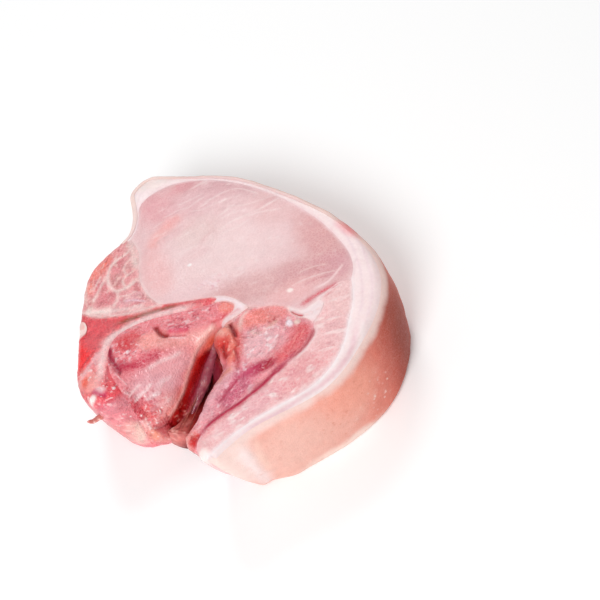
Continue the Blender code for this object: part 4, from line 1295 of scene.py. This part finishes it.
@dataclass
class BackFat:
    """The white fat round the meat, with a thin pink sheet of muscle in it, under the rind."""

    def fat(self) -> Slice:
        """The fat's cut face, in layers along the belly."""
        marks = (
            Grain(3.0, "#efcfd2", 0.35, 0.06, None, threshold=0.1, seed=81),
            face_line(1.2, "#e9bfc6", 0.85, (44.6, -36), (41.7, -42.8), (37.9, -49.3),
                      (32.7, -53.9), (25.9, -57.7), (18.8, -59.9), (10.7, -62.5), (0, -64.6),
                      (-10, -67.4), lift=-0.15),
            face_line(0.6, "#e3c4cc", 0.6, (48, 17), (52, 6), (52.8, -6), (51.8, -18),
                      (49, -28), (44.4, -37)),
            face_line(0.6, "#e8cbd2", 0.6, (51.6, 15), (55.4, 2), (56, -10), (54.4, -22),
                      (50.6, -32), (45, -42)),
            face_line(0.5, "#e6b4a8", 0.7, (-21, 50), (-20, 56), (-17, 61)),
            face_patch(-19, 62, 5, 7, "#fae4e6", 0.8),
            face_patch(-12, 68.4, 8, 3, "#f6e2de", 0.8),
            face_patch(53.2, 8, 1.8, 5, "#f09aa0", 0.75, turn=22, soft=0.8),
            face_line(1.2, "#fbeeee", 0.7, (43, -30), (38, -41.6), (31.9, -50.4), (24.8, -55),
                      (18.5, -57.5), (10.3, -60.3), (2.4, -62.2), (-5.5, -64.3), (-13.9, -68)),
            face_line(0.8, "#fbeeee", 0.7, (47, -38), (43.4, -45.2), (39.1, -51), (33.6, -55.8),
                      (26, -59.6), (18.6, -61.8), (10.7, -63.9)),
        )
        return FatSlice("back_fat", "fat_cap", "rind_fat", SOFT_FAT, "#f3dcdc", "rind",
                        "back_end fat_eye fat_flank", (1, 1), 0.25, 0.7, marks=marks)

    def rind(self) -> Slice:
        """The skin, scalded and scraped: tan pink with a few paler scuffs and painted glints, and darker
        and redder towards its right side, partly its own tan and partly painted shade.
        """
        marks = (
            Grain(12.0, "#ea8c7a", 0.35, 0.1, None, threshold=-0.3, seed=91),
            Grain(4.0, "#f8c6b8", 0.25, 0.05, None, threshold=0.0, seed=92),
            # Painted shade: these two darker, redder patches on the right side are partly the skin's own
            # deeper tan and partly shade.
            Patch((57, -32, 14), (21, 27, 30), "#d85848", 0.94, soft=0.9),
            Patch((60, -33, 12), (12, 15, 26), "#903828", 0.85, soft=0.9, ragged=0.15),
            Patch((14, -66, 14), (26, 10, 17), "#eab4a7", 0.88, soft=0.7),
            Patch((34, -58, 24), (14, 8, 8), "#f4a592", 0.7, soft=0.7),
            Patch((26, -64, 1), (26, 10, 4), "#fbe2d8", 0.9),
            Patch((4, -68, 18), (12, 6, 22), "#efc0b4", 0.7, soft=0.9),
            Patch((-15, -74, 20), (10, 8, 24), "#f9dfd8", 0.92, soft=0.7),
            Patch((-16, -73, 8), (5, 5, 7), "#f6cabc", 0.8),
            Strand(((-11.4, -68.2, 33.6), (-9.6, -70.2, 28), (-7.6, -69.2, 15),
                    (-6.1, -67.2, 5)), 2.4, "#fbeaea", 0.8, 0.5, 0.3, False),
            Strand(((-4, -68, 31), (-4.6, -69.2, 22), (-3, -67.6, 12)), 1.4, "#fbd2c2", 0.6, 0.1),
            # Painted highlights: these two grains of near-white specks stand for wet glints on the skin.
            Grain(1.0, "#ffe9e0", 0.9, 0.15, (40, -53, 13), (11, 9, 9), 0, 1, 0.36, 93),
            Grain(1.0, "#ffe0d6", 0.8, 0.15, (60, -8, 24), (6, 12, 9), 0, 1, 0.5, 96),
            Grain(1.1, "#d0705c", 0.4, -0.05, (30, -58, 18), (40, 14, 16), 0, 1, 0.35, 94),
            Grain(1.1, "#d89080", 0.35, -0.05, None, threshold=0.4, seed=95),
            Level(30.6, 33.6, "#f4d6cf", 0.97),
            Patch((54.6, 8, 33), (1.8, 5.5, 4), "#ee8288", 0.8, turn=22, soft=0.8),
            Patch((-26, 55, 20), (9, 20, 28), "#fae2dc", 0.92, soft=0.6),
            Patch((-12, 73, 22), (13, 5, 24), "#fae0da", 0.8, soft=0.8),
        )
        return RindSlice("rind_skin", "fat_cap", "rind_fat", SCALDED_RIND, "#f2a393", "rind",
                         "rind", (0.8, 0.8), 0.0, 0.7, marks=marks, uneven=0.25)

    def build(self) -> list[bpy.types.Object]:
        """Makes the fat and the skin."""
        return [self.fat().build(), self.rind().build()]


@dataclass
class Cavity:
    """The lining between the fillet and the flank, dark maroon partly as painted shade of the deep
    cavity, and the strands that cross it.
    """

    def lining(self) -> Slice:
        """The sheet that hangs from the flank's wall."""
        marks = (
            Grain(2.0, "#9c4a48", 0.5, 0.25, None, threshold=0.1, seed=101),
            Patch((-12, -24, 16), (5, 10, 10), "#7c3440", 0.85),
            # Painted shadow: a near-black patch beside the fold.
            Patch((-16, -24, 10), (5, 6, 5), "#5c0c14", 0.9),
            Patch((-30, -31, 6), (6, 5, 4), "#a84c44", 0.85),
            Patch((-34, -32, 4), (7, 6, 4.5), "#d27a74", 0.92),
            Grain(1.4, "#eeb0a6", 0.8, 0.3, (-34, -32, 4), (8, 5, 5), threshold=0.1, seed=102),
            Grain(1.4, "#a04048", 0.6, -0.2, (-34, -32, 4), (8, 5, 5), threshold=0.2, seed=103),
        )
        # The lining's dark maroon base colour is partly its blood colour and partly painted shade of the
        # deep cavity.
        return LiningSlice("cavity_lining_web", "cavity_web", "cavity_lining", LINING, "#7a2028",
                           "-cap_end fillet_web web_out", "-inner_web", (3, 3), 0.0, 0.7, 0.8,
                           0.4, marks)

    def folds(self) -> list[Fold]:
        """The purple fold of lining that stands along the groove, and the sinews across it."""
        common = ("cavity_web", "cavity_lining", LINING)
        pale = Grain(1.4, "#c07c7c", 0.4, threshold=0.1, seed=111)
        return [
            Fold("purple_fold", *common, "#944a56", 2.1, 1.3,
                 ((-6.6, -16.2, 28.5), (-9.2, -17.9, 23.6), (-12.4, -19.6, 19), (-15.6, -21.2, 15),
                  (-19, -23.2, 11.6), (-22.4, -25.6, 8.6), (-25.4, -28, 6.6)), marks=(pale,)),
            Fold("groove_sinew_1", *common, "#a45a50", 0.2, 0.16,
                 ((-19.6, -23.6, 12.4), (-23.4, -26.6, 10.2), (-27, -30, 8.8), (-30.4, -33.6, 7.4))),
            Fold("groove_sinew_2", *common, "#a0544c", 0.16, 0.14,
                 ((-20.4, -24.6, 11), (-24.6, -27.4, 9.2), (-28.8, -30.4, 8.2), (-32, -33.4, 7))),
            Fold("groove_sinew_3", *common, "#98504a", 0.16, 0.13,
                 ((-18.4, -24.6, 11.4), (-22, -28, 9.4), (-25.6, -31.8, 8), (-28.4, -35.4, 6.8))),
        ]

    def build(self) -> list[bpy.types.Object]:
        """Makes the lining and its folds."""
        return [self.lining().build()] + [fold.build() for fold in self.folds()]


# ---------------------------------------------------------------- stage


@dataclass
class Studio:
    """A white floor, a soft sky all round, a broad key light and the camera."""

    target_mm: Place = (4.06, -20.34, 35.0)
    eye_mm: Place = (26.74, -446.74, 510.51)
    pitch: float = 48.0
    roll: float = 20.4
    lens: float = 105.0

    def floor(self) -> None:
        """A plane under the chop, matt white."""
        mesh = bpy.data.meshes.new("floor")
        half = 3.0
        mesh.from_pydata([(-half, -half, 0), (half, -half, 0), (half, half, 0), (-half, half, 0)],
                         [], [(0, 1, 2, 3)])
        floor = bpy.data.objects.new("floor", mesh)
        bpy.context.scene.collection.objects.link(floor)
        white = bpy.data.materials.new("matt_white_floor")
        white.use_nodes = True
        shader = white.node_tree.nodes["Principled BSDF"]
        shader.inputs["Base Color"].default_value = (0.93, 0.93, 0.93, 1.0)
        shader.inputs["Roughness"].default_value = 0.9
        shader.inputs["Emission Color"].default_value = (1.0, 1.0, 1.0, 1.0)
        shader.inputs["Emission Strength"].default_value = 0.12
        mesh.materials.append(white)

    def light(self, name: str, place: Place, size: float, power: float) -> None:
        """An area light that faces the chop.

        Args:
            name: The light's name.
            place: Where it stands, in metres.
            size: The side of its square, in metres.
            power: Its power in watts.
        """
        lamp = bpy.data.lights.new(name, "AREA")
        lamp.shape, lamp.size, lamp.energy = "DISK", size, power
        made = bpy.data.objects.new(name, lamp)
        made.location = place
        made.rotation_euler = (Vector((0, 0, 0.02)) - made.location).to_track_quat(
            "-Z", "Y").to_euler()
        bpy.context.scene.collection.objects.link(made)

    def camera(self) -> None:
        """The camera: it looks down at the pitch, and is turned about its own axis by the roll."""
        pitch, roll = np.radians(self.pitch), np.radians(self.roll)
        ahead = np.array([0, np.cos(pitch), -np.sin(pitch)])
        level, above = np.array([1.0, 0, 0]), np.array([0, np.sin(pitch), np.cos(pitch)])
        right = np.cos(roll) * level - np.sin(roll) * above
        up = np.sin(roll) * level + np.cos(roll) * above
        matrix = Matrix(np.column_stack([right, up, -ahead]).tolist()).to_4x4()
        matrix.translation = Vector(self.eye_mm) * MM
        data = bpy.data.cameras.new("camera")
        data.lens, data.sensor_width, data.clip_start = self.lens, 36.0, 0.01
        camera = bpy.data.objects.new("camera", data)
        camera.matrix_world = matrix
        bpy.context.scene.collection.objects.link(camera)
        bpy.context.scene.camera = camera

    def build(self) -> None:
        """Sets up the floor, the lights, the sky and the camera."""
        self.floor()
        self.light("key", (-0.35, -0.75, 0.75), 0.5, 8.2)
        self.light("back", (0.05, 0.75, 0.8), 0.4, 3.0)
        world = bpy.data.worlds.new("soft_sky")
        world.use_nodes = True
        sky = world.node_tree.nodes["Background"]
        sky.inputs["Color"].default_value = (1.0, 1.0, 1.0, 1.0)
        sky.inputs["Strength"].default_value = 0.4
        bpy.context.scene.world = world
        bpy.context.scene.view_settings.view_transform = "Standard"
        self.camera()


def main() -> None:
    """Builds the chop, group by group, then the studio round it."""
    logging.basicConfig(level=logging.INFO, format="%(message)s")
    for group in (Loin(), Backbone(), Tenderloin(), Belly(), BackFat(), Cavity()):
        for piece in group.build():
            logging.info("%s: %d faces", piece.name, len(piece.data.polygons))
    Studio().build()


if __name__ == "__main__":
    main()
